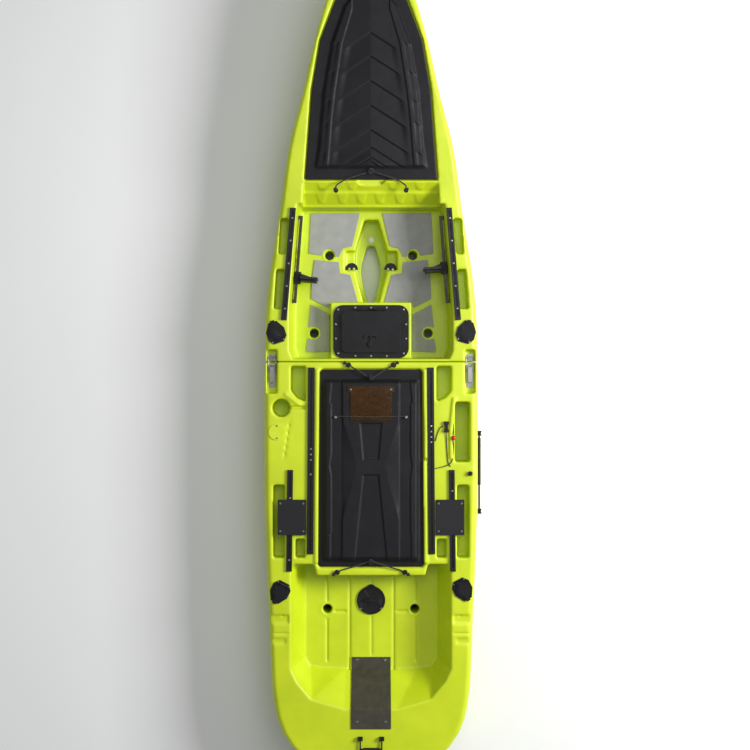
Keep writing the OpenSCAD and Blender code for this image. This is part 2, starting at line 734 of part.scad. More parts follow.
post_y = -1757;
blade_axis = [0, -1796, 255];
module rudder_bracket() {
    color(steel) {
        block(-22, -1746, 200, 22, -1740.2, 322);
        for (z = [206, 300]) {
            block(-10, post_y, z, 10, -1742, z + 12);
            translate([0, post_y, z]) cylinder(r = 10, h = 12);
        }
        translate([0, post_y, 204]) cylinder(r = 4, h = 112);
    }
}
module rudder_head() {
    color(black) difference() {
        union() {
            translate([0, post_y, 218.4]) cylinder(r = 10, h = 81.2);
            for (x = [-6.2, 6.2]) block(x - 2.5, -1806, 228, x + 2.5, post_y - 4, 284);
            block(-8, post_y - 17, 228, 8, post_y - 6, 284);
            bar_x(blade_axis, 4, 16);
        }
        translate([0, post_y, 200]) cylinder(r = 4.06, h = 120);
    }
}
blade = [[-1788, 268], [-1812, 266], [-1836, 236], [-1866, 130], [-1871, 60], [-1852, 32], [-1816, 30],
    [-1802, 120], [-1784, 238]];
module rudder_blade() {
    color("#2a2a2c") difference() {
        rotate([90, 0, 90]) translate([0, 0, -3]) linear_extrude(6) polygon([for (i = [len(blade) - 1:-1:0]) blade[i]]);
        bar_x(blade_axis, 4.06, 20);
    }
}

/* Rudder control line */

line_d = 4;
line_a = [[271, -351, 333], [276, -330, 333], [286, -304, 334], [296, -290, 336], [305, -288, 337]];
line_b = [[316, -315, 336], [317, -350, 333], [320, -400, 333], [324, -440, 333], [334, -458, 333]];
line_c = [[345, -276, 333], [346, -300, 335], [347, -328, 340]];
line_d_route = [[347, -348, 340], [347, -380, 334], [344, -412, 333], [338, -438, 334], [322, -452, 338],
    [296, -460, 334], [271, -466, 333]];
module rudder_line() {
    color("#d8d3c4") for (r = [line_a, line_b, line_c, line_d_route]) cord(r, line_d);
}
module line_fittings() {
    color(black) block(306, -314, deck_z, 327, -268, deck_z + 12);
    color("#c02418") translate([347, -338, deck_z + 10]) sphere(r = 9.6);
}

module deck_screws() {
    color(steel) {
        for (p = hatch_screws) screw([p[0], p[1], frame_z + frame_t]);
        for (i = [0:3], x = [-24, 24]) at_rod_holder(i) screw([x, -37, 5], 4);
        both() for (p = [[284, -612], [380, -612], [284, -728], [380, -728]])
            screw([p[0], p[1], deck_z + track_h + 5]);
        for (x = [-43, 43]) screw([x, round_at[1] - 36, tank_floor_z + 8]);
        for (p = [[-60, -1300], [60, -1300], [-60, -1530], [60, -1530]])
            screw([p[0], p[1], (p[1] > -1400 ? tank_floor_z + fit : deck_z + 1.5) + plate_t], 7);
        for (y = [plate_at[1] - 26, plate_at[1] + 26]) screw([plate_at[0], y, deck_z + 4], 4);
        translate([0, 519, drive_shelf_z]) cylinder(r = 12, h = 2);
        translate([0, 519, drive_shelf_z + 2]) cylinder(r = 7, h = 6, $fn = 6);
    }
}

bow_hull();
stern_hull();
bow_hatch_cover();
bow_hatch_seal();
bow_hatch_hinge();
bow_hatch_bungee();
lashing_buttons();
centre_hatch_frame();
centre_hatch_lid();
centre_hatch_latch();
deck_pad(front_pad, -1);  // pad_front_port
deck_pad(front_pad, 1);  // pad_front_starboard
deck_pad(middle_pad, -1);  // pad_middle_port
deck_pad(middle_pad, 1);  // pad_middle_starboard
deck_pad(rear_pad, -1);  // pad_rear_port
deck_pad(rear_pad, 1);  // pad_rear_starboard
front_track(-1);  // front_track_port
front_track(1);  // front_track_starboard
rear_track(-1);  // rear_track_port
rear_track(1);  // rear_track_starboard
seat_rails();
rear_plates();
foot_rail(-1);  // foot_rail_port
foot_rail(1);  // foot_rail_starboard
foot_pedal(-1);  // foot_pedal_port
foot_pedal(1);  // foot_pedal_starboard
drive_lock(-1);  // drive_lock_port
drive_lock(1);  // drive_lock_starboard
drive_lock_brackets();
rod_holder(0);  // rod_holder_bow_port
rod_holder(1);  // rod_holder_bow_starboard
rod_holder(2);  // rod_holder_stern_port
rod_holder(3);  // rod_holder_stern_starboard
rod_cap(0);  // rod_cap_bow_port
rod_cap(1);  // rod_cap_bow_starboard
rod_cap(2);  // rod_cap_stern_port
rod_cap(3);  // rod_cap_stern_starboard
latch_plates();
latch_lever(-1);  // latch_lever_port
latch_lever(1);  // latch_lever_starboard
latch_bail(-1);  // latch_bail_port
latch_bail(1);  // latch_bail_starboard
centre_cover();
amber_panel();
cover_screws();
cover_bungees();
round_hatch_ring();
round_hatch_lid();
motor_plate();
inspection_plate();
handle_saddles();
deck_handle(0);  // bow_handle
deck_handle(1);  // stern_handle
side_handle();
rudder_bracket();
rudder_head();
rudder_blade();
rudder_line();
line_fittings();
deck_screws();
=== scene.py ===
"""Looks of a two-piece sit-on-top pedal kayak: lime hull, black covers, foam pads, rails and cords."""

import math

import bmesh
import bpy
import numpy as np
from mathutils import Matrix, Vector


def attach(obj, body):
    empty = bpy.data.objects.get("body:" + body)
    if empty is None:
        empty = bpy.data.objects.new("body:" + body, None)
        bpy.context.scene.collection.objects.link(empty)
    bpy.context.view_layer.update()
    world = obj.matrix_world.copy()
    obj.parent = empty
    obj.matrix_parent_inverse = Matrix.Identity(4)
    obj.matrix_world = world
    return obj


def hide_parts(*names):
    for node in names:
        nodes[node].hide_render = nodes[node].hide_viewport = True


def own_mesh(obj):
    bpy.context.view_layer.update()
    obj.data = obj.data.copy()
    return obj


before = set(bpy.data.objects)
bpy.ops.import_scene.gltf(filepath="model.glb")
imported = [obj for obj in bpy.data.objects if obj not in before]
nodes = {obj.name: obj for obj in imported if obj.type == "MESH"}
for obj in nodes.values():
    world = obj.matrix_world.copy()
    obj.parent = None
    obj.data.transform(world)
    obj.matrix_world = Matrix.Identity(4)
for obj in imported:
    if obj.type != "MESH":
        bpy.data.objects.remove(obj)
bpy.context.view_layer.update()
scene = bpy.context.scene
MM = 0.001

# Sizes shared with the CAD model, in millimetres.
BEAM = 902
DECK_Z = 330
BOW_RISE = 72
SHEER_Y = 660
SHEER_END_Y = 1600
SEAM_FRONT_Y = -17
SEAM_BACK_Y = -19
FOOT_FLOOR_Z = 165
ISLAND_Z = 235
TANK_FLOOR_Z = 190
HATCH_Y = 748
HATCH_SLOPE = math.atan(BOW_RISE / (SHEER_END_Y - SHEER_Y))
RAIL_H = 9
CORD_D = 6
LINE_D = 4
SCREW_CORD_D = 2.2
SCUPPER_R = 20
SCUPPER_RIM_R = 29
SCUPPER_RECESS_R = 32
SCUPPER_RECESS_Z = 27
ROD_HOLE_R = 25.3
ROD_HOLE_DEPTH = 171
ROD_TILT = 15
COVER_Z = DECK_Z - 13.7
LATCH_FLOOR_Z = 295
POCKET_Z = DECK_Z - 60
DEEP_POCKET_Z = DECK_Z - 70
CUT_TOP_Z = DECK_Z + 2
BIN_Z = 150


# ---------------------------------------------------------------- camera

CAMERA_DISTANCE = 5.6
VIEW_WIDTH = 3.15


def make_camera():
    data = bpy.data.cameras.new("camera")
    data.sensor_width = 36
    data.lens = 36 * CAMERA_DISTANCE / VIEW_WIDTH
    camera = bpy.data.objects.new("camera", data)
    camera.location = (0.0168, -0.0735, DECK_Z * MM + CAMERA_DISTANCE)
    scene.collection.objects.link(camera)
    scene.camera = camera


make_camera()


# ---------------------------------------------------------------- mesh helpers


def new_object(name, mesh, body=None):
    obj = bpy.data.objects.new(name, mesh)
    scene.collection.objects.link(obj)
    if body:
        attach(obj, body)
    return obj


def mesh_of(name, points, faces, smooth=True):
    """A mesh from points in millimetres."""
    mesh = bpy.data.meshes.new(name)
    mesh.from_pydata([tuple(c * MM for c in p) for p in points], [], faces)
    mesh.validate()
    mesh.update()
    if smooth:
        mesh.polygons.foreach_set("use_smooth", [True] * len(mesh.polygons))
    return mesh


def outward(mesh):
    """Turns every face of a closed mesh outwards."""
    bm = bmesh.new()
    bm.from_mesh(mesh)
    bmesh.ops.recalc_face_normals(bm, faces=bm.faces)
    bm.to_mesh(mesh)
    bm.free()
    return mesh


def skin(name, rings):
    """A closed body through rings with equal numbers of points."""
    n = len(rings[0])
    faces = []
    for j in range(len(rings) - 1):
        for i in range(n):
            k = (i + 1) % n
            faces.append((j * n + i, j * n + k, (j + 1) * n + k, (j + 1) * n + i))
    faces.append(tuple(range(n - 1, -1, -1)))
    faces.append(tuple((len(rings) - 1) * n + i for i in range(n)))
    points = [p for ring in rings for p in ring]
    return outward(mesh_of(name, points, faces, smooth=False))


def applied(obj):
    """The object's mesh with its modifiers in it."""
    graph = bpy.context.evaluated_depsgraph_get()
    graph.update()
    mesh = bpy.data.meshes.new_from_object(obj.evaluated_get(graph))
    obj.modifiers.clear()
    obj.data = mesh
    return obj


def carve(obj, tools):
    """Cuts or joins the meshes in tools, which are (operation, mesh) pairs, in that order."""
    helpers = []
    for i, (operation, mesh) in enumerate(tools):
        helper = new_object(f"tool_{i}", mesh)
        helper.hide_render = True
        helpers.append(helper)
        step = obj.modifiers.new(f"step_{i}", "BOOLEAN")
        step.operation = operation
        step.solver = "EXACT"
        step.object = helper
    applied(obj)
    for helper in helpers:
        bpy.data.objects.remove(helper)
    return obj


def soft_edges(obj, voxel, passes):
    """Rebuilds the mesh in small even faces and smooths it, as a moulding's edges are round."""
    remesh = obj.modifiers.new("remesh", "REMESH")
    remesh.mode = "VOXEL"
    remesh.voxel_size = voxel * MM
    smooth = obj.modifiers.new("smooth", "SMOOTH")
    smooth.factor = 0.5
    smooth.iterations = passes
    applied(obj)
    obj.data.polygons.foreach_set("use_smooth", [True] * len(obj.data.polygons))
    return obj


def both_sides(half):
    return list(half) + [(-x, y) for x, y in reversed(half) if x > 0]


def mirrored(outline):
    return [(-x, y) for x, y in reversed(outline)]


def box_outline(x0, y0, x1, y1):
    return [(x0, y0), (x1, y0), (x1, y1), (x0, y1)]


def arc_outline(cx, cy, r, n=32, squeeze=1.0):
    return [(cx + r * math.cos(2 * math.pi * i / n), cy + squeeze * r * math.sin(2 * math.pi * i / n))
            for i in range(n)]


def prism(low, high, z0, z1):
    return skin("prism", [[(x, y, z0) for x, y in low], [(x, y, z1) for x, y in high]])


def straight(outline, z0, z1):
    return prism(outline, outline, z0, z1)


def strip(a, b, width, z0, z1):
    """A straight bar from a to b, seen from above."""
    ax, ay = a
    bx, by = b
    length = math.hypot(bx - ax, by - ay)
    nx, ny = -(by - ay) / length * width / 2, (bx - ax) / length * width / 2
    outline = [(ax - nx, ay - ny), (bx - nx, by - ny), (bx + nx, by + ny), (ax + nx, ay + ny)]
    return straight(outline, z0, z1)


def placed(mesh, matrix):
    mesh.transform(matrix)
    return mesh


# Places a shape drawn flat, from the bow hatch's aft edge, on the sloping foredeck.
HATCH_Z = DECK_Z + BOW_RISE * (HATCH_Y - SHEER_Y) / (SHEER_END_Y - SHEER_Y)
FOREDECK = Matrix.Translation((0, HATCH_Y * MM, HATCH_Z * MM)) @ Matrix.Rotation(HATCH_SLOPE, 4, "X")


# ---------------------------------------------------------------- materials


class Finish:
    """Builds one procedural material. Lengths are in metres of the object's own space."""

    def __init__(self, name, roughness=0.5, metallic=0.0, **sockets):
        self.material = bpy.data.materials.new(name)
        self.material.use_nodes = True
        self.tree = self.material.node_tree
        self.shader = self.tree.nodes["Principled BSDF"]
        self.shader.inputs["Roughness"].default_value = roughness
        self.shader.inputs["Metallic"].default_value = metallic
        for key, value in sockets.items():
            self.shader.inputs[key.replace("_", " ")].default_value = value
        self.space = self.node("ShaderNodeTexCoord").outputs["Object"]

    def node(self, kind, **values):
        made = self.tree.nodes.new(kind)
        for key, value in values.items():
            setattr(made, key, value)
        return made

    def link(self, a, b):
        self.tree.links.new(a, b)

    def noise(self, scale, detail=4.0, stretch=None, roughness=0.55):
        """A noise pattern, drawn out along an axis where stretch is given."""
        made = self.node("ShaderNodeTexNoise")
        made.inputs["Scale"].default_value = scale
        made.inputs["Detail"].default_value = detail
        made.inputs["Roughness"].default_value = roughness
        source = self.space
        if stretch:
            mapping = self.node("ShaderNodeMapping")
            mapping.inputs["Scale"].default_value = stretch
            self.link(source, mapping.inputs["Vector"])
            source = mapping.outputs["Vector"]
        self.link(source, made.inputs["Vector"])
        return made.outputs["Fac"]

    def cells(self, scale, feature="F1"):
        made = self.node("ShaderNodeTexVoronoi", feature=feature)
        made.inputs["Scale"].default_value = scale
        self.link(self.space, made.inputs["Vector"])
        return made.outputs["Distance"]

    def ranged(self, value, low, high, to_low, to_high):
        made = self.node("ShaderNodeMapRange")
        for key, number in (("From Min", low), ("From Max", high), ("To Min", to_low), ("To Max", to_high)):
            made.inputs[key].default_value = number
        self.link(value, made.inputs["Value"])
        return made.outputs["Result"]

    def math(self, operation, a, b):
        made = self.node("ShaderNodeMath", operation=operation)
        for i, value in enumerate((a, b)):
            if isinstance(value, (int, float)):
                made.inputs[i].default_value = value
            else:
                self.link(value, made.inputs[i])
        return made.outputs["Value"]

    def mixed(self, share, a, b):
        made = self.node("ShaderNodeMix", data_type="RGBA")
        colours = [s for s in made.inputs if s.type == "RGBA"]
        self.link(share, made.inputs["Factor"])
        for socket, value in zip(colours, (a, b)):
            if isinstance(value, tuple):
                socket.default_value = (*value, 1)
            else:
                self.link(value, socket)
        return next(s for s in made.outputs if s.type == "RGBA")

    def colour(self, value):
        self.link(value, self.shader.inputs["Base Color"])

    def rough(self, value):
        self.link(value, self.shader.inputs["Roughness"])

    def bumps(self, *layers):
        """Layers are (height, depth in metres), each laid over the one before."""
        normal = None
        for height, depth in layers:
            made = self.node("ShaderNodeBump")
            made.inputs["Distance"].default_value = depth
            self.link(height, made.inputs["Height"])
            if normal is not None:
                self.link(normal, made.inputs["Normal"])
            normal = made.outputs["Normal"]
        self.link(normal, self.shader.inputs["Normal"])

    def edges(self, low, high):
        """Rises from 0 to 1 on convex edges."""
        geometry = self.node("ShaderNodeNewGeometry")
        return self.ranged(geometry.outputs["Pointiness"], low, high, 0, 1)


def moulded(name, dark, light, worn_and_lit_edge, roughness, grain_scale, grain_depth, wear_and_highlight=0.35):
    """Moulded plastic: mottled colour, an orange-peel skin, and paler convex edges, partly rubbed wear and
    partly painted highlight.
    """
    f = Finish(name, roughness)
    broad = f.noise(5, 3)
    fine = f.noise(160, 5)
    base = f.mixed(f.ranged(broad, 0.3, 0.7, 0, 1), dark, light)
    # Convex edges are painted paler: partly rubbed wear, partly a painted highlight.
    rub_and_highlight = f.math("MULTIPLY", f.edges(0.505, 0.56), f.ranged(fine, 0.35, 0.75, 0, wear_and_highlight))
    f.colour(f.mixed(rub_and_highlight, base, worn_and_lit_edge))
    f.rough(f.ranged(f.noise(24, 6), 0.3, 0.7, roughness - 0.06, roughness + 0.08))
    f.bumps((f.noise(9, 2), 0.0012), (f.noise(grain_scale, 3), grain_depth))
    return f.material


def pebbled(name, dark, light, roughness, scale, depth):
    """Black plastic or rubber with a pebbled grain, faint dust and a painted highlight on its convex edges.
    """
    f = Finish(name, roughness, Specular_IOR_Level=0.22)
    dust = f.math("MULTIPLY", f.ranged(f.noise(14, 6), 0.4, 0.75, 0, 1), 0.55)
    base = f.mixed(dust, dark, light)
    # Convex edges are painted lighter: a painted highlight.
    f.colour(f.mixed(f.edges(0.51, 0.60), base, tuple(2.2 * c for c in light)))
    f.rough(f.ranged(f.noise(40, 5), 0.3, 0.7, roughness - 0.08, roughness + 0.1))
    f.bumps((f.cells(scale), depth), (f.noise(scale * 2.3, 2), depth * 0.5))
    return f.material


def brushed(name, dark, light, roughness, metallic, stretch, depth=0.00006):
    """Metal with a brushed grain and patchy roughness."""
    f = Finish(name, roughness, metallic)
    lines = f.noise(900, 3, stretch)
    f.colour(f.mixed(f.ranged(lines, 0.3, 0.7, 0, 1), dark, light))
    f.rough(f.ranged(f.noise(30, 5), 0.3, 0.7, roughness - 0.07, roughness + 0.12))
    f.bumps((lines, depth))
    return f.material


def foam(name, dark, light):
    """Closed-cell foam sheet, with a fine stipple and a brushed top."""
    f = Finish(name, 0.9, Sheen_Weight=0.25, Sheen_Roughness=0.6)
    patches = f.noise(22, 5)
    f.colour(f.mixed(f.ranged(patches, 0.3, 0.7, 0, 1), dark, light))
    f.bumps((f.cells(620), 0.0007), (f.noise(1700, 2), 0.0003))
    return f.material


def braided(name, dark, light, count, pitch):
    """Braided cover of a cord: two sets of strands over the tube's own round and along coordinates."""
    f = Finish(name, 0.75, Sheen_Weight=0.2)
    uv = f.node("ShaderNodeUVMap", uv_map="along")
    split = f.node("ShaderNodeSeparateXYZ")
    f.link(uv.outputs["UV"], split.inputs["Vector"])
    around = f.math("MULTIPLY", split.outputs["X"], count * 2 * math.pi)
    along = f.math("MULTIPLY", split.outputs["Y"], 2 * math.pi / pitch)
    left = f.math("SINE", f.math("ADD", around, along), 0)
    right = f.math("SINE", f.math("SUBTRACT", around, along), 0)
    weave = f.ranged(f.math("MAXIMUM", left, right), -0.4, 1, 0, 1)
    f.colour(f.mixed(weave, dark, light))
    f.bumps((weave, 0.0004), (f.noise(2500, 2), 0.0001))
    return f.material


# The third colour of a moulded finish paints its convex edges paler: partly rubbed wear, partly a painted
# highlight.
LIME = moulded("lime_hull", (0.50, 0.62, 0.008), (0.60, 0.72, 0.014), (0.78, 0.86, 0.10), 0.40, 900,
               0.00022)
COVER = pebbled("black_cover", (0.0075, 0.0075, 0.009), (0.014, 0.014, 0.016), 0.50, 1100, 0.00018)
BLACK = pebbled("black_fittings", (0.007, 0.007, 0.008), (0.013, 0.013, 0.014), 0.42, 1500, 0.00012)
RUBBER = pebbled("seal", (0.010, 0.010, 0.010), (0.020, 0.020, 0.020), 0.75, 1800, 0.0001)
FOAM = foam("grey_foam", (0.30, 0.30, 0.30), (0.36, 0.36, 0.36))
TRACK = brushed("black_rail", (0.006, 0.006, 0.006), (0.013, 0.013, 0.014), 0.45, 0.3, (40, 1, 40))
RAIL = brushed("grey_rail", (0.022, 0.024, 0.018), (0.050, 0.053, 0.042), 0.42, 0.5, (40, 1, 40))
STEEL = brushed("steel", (0.24, 0.24, 0.23), (0.40, 0.40, 0.38), 0.36, 1.0, (40, 2, 2))
BRONZE = brushed("bronze_sheet", (0.085, 0.080, 0.060), (0.135, 0.125, 0.095), 0.40, 0.75, (2, 40, 2))
BUNGEE = braided("bungee_cover", (0.003, 0.003, 0.003), (0.018, 0.018, 0.018), 8, 0.004)
LINE = braided("line_cover", (0.012, 0.012, 0.011), (0.05, 0.05, 0.045), 8, 0.003)
# The third colour paints the ball's convex edges paler: partly rubbed wear, partly a painted highlight.
RED = moulded("red_ball", (0.50, 0.010, 0.006), (0.62, 0.018, 0.010), (0.70, 0.15, 0.10), 0.3, 900, 0.0001)


def amber_finish():
    """Tinted clear sheet with faint swirls of polishing."""
    f = Finish("amber_sheet", 0.14, Transmission_Weight=0.3, IOR=1.49, Specular_IOR_Level=0.25)
    swirl = f.ranged(f.noise(7, 4), 0.3, 0.7, 0, 1)
    f.colour(f.mixed(swirl, (0.040, 0.015, 0.0005), (0.070, 0.028, 0.001)))
    f.rough(f.ranged(f.noise(60, 6), 0.35, 0.7, 0.08, 0.24))
    f.bumps((f.noise(12, 3), 0.0004))
    return f.material


AMBER = amber_finish()


def paint(obj, material):
    obj.data.materials.clear()
    obj.data.materials.append(material)
    return obj


# ---------------------------------------------------------------- cords


def smooth_route(points, step):
    """Points close together on a smooth curve through the given ones, in millimetres."""
    p = np.array(points, float)
    ends = np.vstack([2 * p[0] - p[1], p, 2 * p[-1] - p[-2]])
    out = []
    for i in range(1, len(ends) - 2):
        a, b, c, d = ends[i - 1:i + 3]
        count = max(2, int(np.linalg.norm(c - b) / step))
        for t in np.arange(count) / count:
            out.append(0.5 * (2 * b + (c - a) * t + (2 * a - 5 * b + 4 * c - d) * t * t
                              + (3 * b - a - 3 * c + d) * t ** 3))
    out.append(p[-1])
    return np.array(out)


def tube(name, route, diameter, body, material, sides=14, plait=0.05):
    """A plaited cord along a route of close points in millimetres, with flat capped ends."""
    p = np.array(route, float)
    n = len(p)
    along = np.concatenate([[0], np.cumsum(np.linalg.norm(np.diff(p, axis=0), axis=1))])
    tangent = np.gradient(p, axis=0)
    tangent /= np.linalg.norm(tangent, axis=1)[:, None]
    side = np.cross(tangent[0], [0, 0, 1.0])
    side /= np.linalg.norm(side)
    points = []
    for i in range(n):
        side = side - tangent[i] * side.dot(tangent[i])
        side /= np.linalg.norm(side)
        other = np.cross(tangent[i], side)
        for k in range(sides):
            angle = 2 * math.pi * k / sides
            twist = plait * math.cos(3 * angle + 2 * math.pi * along[i] / (diameter * 2.2))
            r = diameter / 2 * (1 - plait + twist)
            points.append(p[i] + r * (math.cos(angle) * side + math.sin(angle) * other))
    rings = [tuple(q) for q in points]
    faces, uvs = [], []
    for i in range(n - 1):
        for k in range(sides):
            j = (k + 1) % sides
            faces.append((i * sides + k, i * sides + j, (i + 1) * sides + j, (i + 1) * sides + k))
            a, b = k / sides, (k + 1) / sides
            s, t = along[i] * MM, along[i + 1] * MM
            uvs += [(a, s), (b, s), (b, t), (a, t)]
    for end, order in ((0, range(sides - 1, -1, -1)), (n - 1, range(sides))):
        faces.append(tuple(end * sides + k for k in order))
        uvs += [(k / sides, along[end] * MM) for k in order]
    mesh = bpy.data.meshes.new(name)
    mesh.from_pydata([tuple(c * MM for c in q) for q in rings], [], faces)
    layer = mesh.uv_layers.new(name="along")
    layer.data.foreach_set("uv", [c for uv in uvs for c in uv])
    mesh.update()
    outward(mesh)
    mesh.polygons.foreach_set("use_smooth", [len(f.vertices) == 4 for f in mesh.polygons])
    obj = new_object(name, mesh, body)
    return paint(obj, material), float(along[-1])


def knot(name, centre, radius, diameter, turn, body, material):
    """A small overhand knot lying flat."""
    points = []
    for i in range(61):
        t = 2 * math.pi * i / 60
        x = (math.sin(t) + 2 * math.sin(2 * t)) / 3 * radius
        y = (math.cos(t) - 2 * math.cos(2 * t)) / 3 * radius
        z = -math.sin(3 * t) * diameter * 0.55
        c, s = math.cos(turn), math.sin(turn)
        points.append((centre[0] + c * x - s * y, centre[1] + s * x + c * y, centre[2] + z))
    obj, _ = tube(name, points, diameter, body, material, sides=10)
    return obj


# ---------------------------------------------------------------- hull

# Along the hull: share of the beam, height of the keel, and how far the section is the bow's vee.
WIDTH_ALONG = [(-1740, 0.28), (-1710, 0.50), (-1640, 0.74), (-1520, 0.88), (-1375, 0.93), (-1100, 0.955),
               (-850, 0.98), (-500, 1), (-150, 1), (150, 0.99), (330, 0.955), (600, 0.86), (870, 0.775),
               (1115, 0.635), (1320, 0.53), (1500, 0.41), (1660, 0.28), (1780, 0.16), (1845, 0.08),
               (1871, 0.02)]
KEEL_ALONG = [(-1740, 120), (-1710, 84), (-1640, 48), (-1520, 18), (-1375, 4), (-1200, 0), (900, 0),
              (1115, 3), (1320, 10), (1500, 26), (1660, 64), (1780, 124), (1845, 200), (1871, 270)]
VEE_ALONG = [(-1740, 0.5), (-1520, 0.15), (-1200, 0), (600, 0), (1115, 0.35), (1500, 0.8), (1871, 1)]
# Half sections from the keel to the deck's edge, as shares of the half beam and of the depth.
MIDDLE_SHAPE = np.array([(0.12, 0), (0.30, 0.07), (0.50, 0.004), (0.74, 0.004), (0.90, 0.10), (0.97, 0.36),
                         (1, 0.72), (1, 0.90), (0.985, 0.97), (0.955, 1)])
BOW_SHAPE = np.array([(0.06, 0), (0.15, 0.07), (0.28, 0.14), (0.44, 0.25), (0.62, 0.40), (0.80, 0.60),
                      (0.94, 0.80), (1, 0.92), (0.985, 0.97), (0.94, 1)])


def lookup(y, table):
    """A value from a table, along a smooth curve that never overshoots it."""
    at, value = np.array(table, float).T
    slope = np.diff(value) / np.diff(at)
    both = slope[1:] * slope[:-1]
    inner = np.where(both > 0, 2 * both / np.where(both > 0, slope[1:] + slope[:-1], 1), 0)
    ends = np.concatenate([[slope[0]], inner, [slope[-1]]])
    i = int(np.clip(np.searchsorted(at, y) - 1, 0, len(at) - 2))
    h = at[i + 1] - at[i]
    t = min(1, max(0, (y - at[i]) / h))
    return float((1 + 2 * t) * (1 - t) ** 2 * value[i] + t * t * (3 - 2 * t) * value[i + 1]
                 + h * t * (1 - t) * ((1 - t) * ends[i] - t * ends[i + 1]))


def finer(rings, gap=60):
    """The same rings with more between them, none further apart than the gap."""
    out = []
    for a, b in zip(rings, rings[1:]):
        out += list(np.linspace(a, b, max(1, math.ceil((b - a) / gap)) + 1)[:-1])
    return out + [rings[-1]]


def deck_height(y):
    return DECK_Z + BOW_RISE * min(1, max(0, (y - SHEER_Y) / (SHEER_END_Y - SHEER_Y)))


def section(y):
    vee = lookup(y, VEE_ALONG)
    half_beam = BEAM / 2 * lookup(y, WIDTH_ALONG)
    low = lookup(y, KEEL_ALONG)
    shape = MIDDLE_SHAPE * (1 - vee) + BOW_SHAPE * vee
    half = [(x * half_beam, y, low + z * (deck_height(y) - low)) for x, z in shape]
    return half + [(-x, y, z) for x, y, z in reversed(half)]


BOW_RINGS = [SEAM_FRONT_Y, 150, 330, 600, SHEER_Y, 870, 1115, 1320, 1500, SHEER_END_Y, 1660, 1780, 1845,
             1871]
STERN_RINGS = [-1740, -1710, -1640, -1520, -1375, -1200, -1100, -850, -500, -150, SEAM_BACK_Y]
FOOT_HIGH = both_sides([(330, -6), (345, 30), (345, 200), (312, 648)])
FOOT_LOW = both_sides([(318, 0), (331, 40), (331, 200), (298, 636)])
DRIVE_WELL = both_sides([(21, 228), (34, 241), (70, 378), (70, 464), (46, 544), (30, 598)])
DRIVE_ALCOVE = both_sides([(113, 378), (113, 462)])
DRIVE_SLOT = both_sides([(15, 243), (28, 296), (42, 360), (42, 400), (36, 430), (16, 493)])
SIDE_POCKETS = [[(344, 586), (357, 435), (391, 435), (382, 586)],
                [(361, 372), (370, 204), (410, 204), (399, 372)]]
LATCH_RECESS = box_outline(395.5, -151.5, 438.5, 33)
TANK_HIGH = both_sides([(110, -1480), (250, -1440), (312, -1367), (338, -1312), (338, -882), (326, -868),
                        (240, -868), (228, -915)])
TANK_LOW = both_sides([(110, -1335), (200, -1333), (262, -1325), (285, -1290), (285, -900), (272, -884),
                       (236, -884), (222, -926)])
COVER_RECESS = both_sides([(216, -884), (228, -867), (218, -60), (204, -46)])
BOX_RECESS = [(275, -186), (312, -170), (338, -140), (338, -36), (275, -36)]
HATCH_RIM = both_sides([(283, -6), (273, 123), (254, 368), (218, 577), (156, 740), (104, 800), (78, 838)])
HATCH_TUB = both_sides([(260, 10), (248, 123), (230, 368), (196, 560), (130, 700)])
SCUPPERS = [(180, 443, FOOT_FLOOR_Z), (246, 107, FOOT_FLOOR_Z), (188, -1080, TANK_FLOOR_Z)]
# Each rod holder's middle on the deck and its turn in degrees.
ROD_HOLDERS = [(-400, 105, 18), (400, 107, -16), (-384, -985, 153), (386, -974, -152)]
CUT, JOIN = "DIFFERENCE", "UNION"


def cylinder(x, y, r, z0, z1, n=40):
    return straight(arc_outline(x, y, r, n), z0, z1)


def scupper_tools(x, y, floor):
    """A drain through the hull with its raised rim on the floor."""
    return [(JOIN, cylinder(x, y, SCUPPER_RIM_R, floor - 20, floor + 2)),
            (CUT, cylinder(x, y, SCUPPER_R, -1, floor + 30)),
            (CUT, cylinder(x, y, SCUPPER_RECESS_R, -1, SCUPPER_RECESS_Z))]


def rod_tool(i):
    """The tilted tube of one rod holder."""
    x, y, turn = ROD_HOLDERS[i]
    place = Matrix.Translation((x * MM, y * MM, DECK_Z * MM))
    place = place @ Matrix.Rotation(math.radians(turn), 4, "Z")
    place = place @ Matrix.Rotation(math.radians(-ROD_TILT), 4, "X")
    return CUT, placed(cylinder(0, 0, ROD_HOLE_R, -ROD_HOLE_DEPTH, 12), place)


def step_bumps():
    """Raised grips on the two sloped steps behind the bow hatch."""
    tools = []
    wide, narrow = 50, 24
    rows = [((-206, -80, 92, 206), 706, 738, 300, 334),
            ((-210, -122, -42, 38, 122, 206), 655, 694, 246, 292)]
    for xs, y0, y1, z0, z1 in rows:
        for x in xs:
            base = [(x - narrow / 2, y0, z0 - 20), (x + narrow / 2, y0, z0 - 20),
                    (x + wide / 2, y1, z1 - 20), (x - wide / 2, y1, z1 - 20)]
            top = [(x - narrow / 2 + 3, y0 + 3, z0 + 10), (x + narrow / 2 - 3, y0 + 3, z0 + 10),
                   (x + wide / 2 - 3, y1, z1 + 5), (x - wide / 2 + 3, y1, z1 + 5)]
            tools.append((JOIN, skin("bump", [base, top])))
    return tools


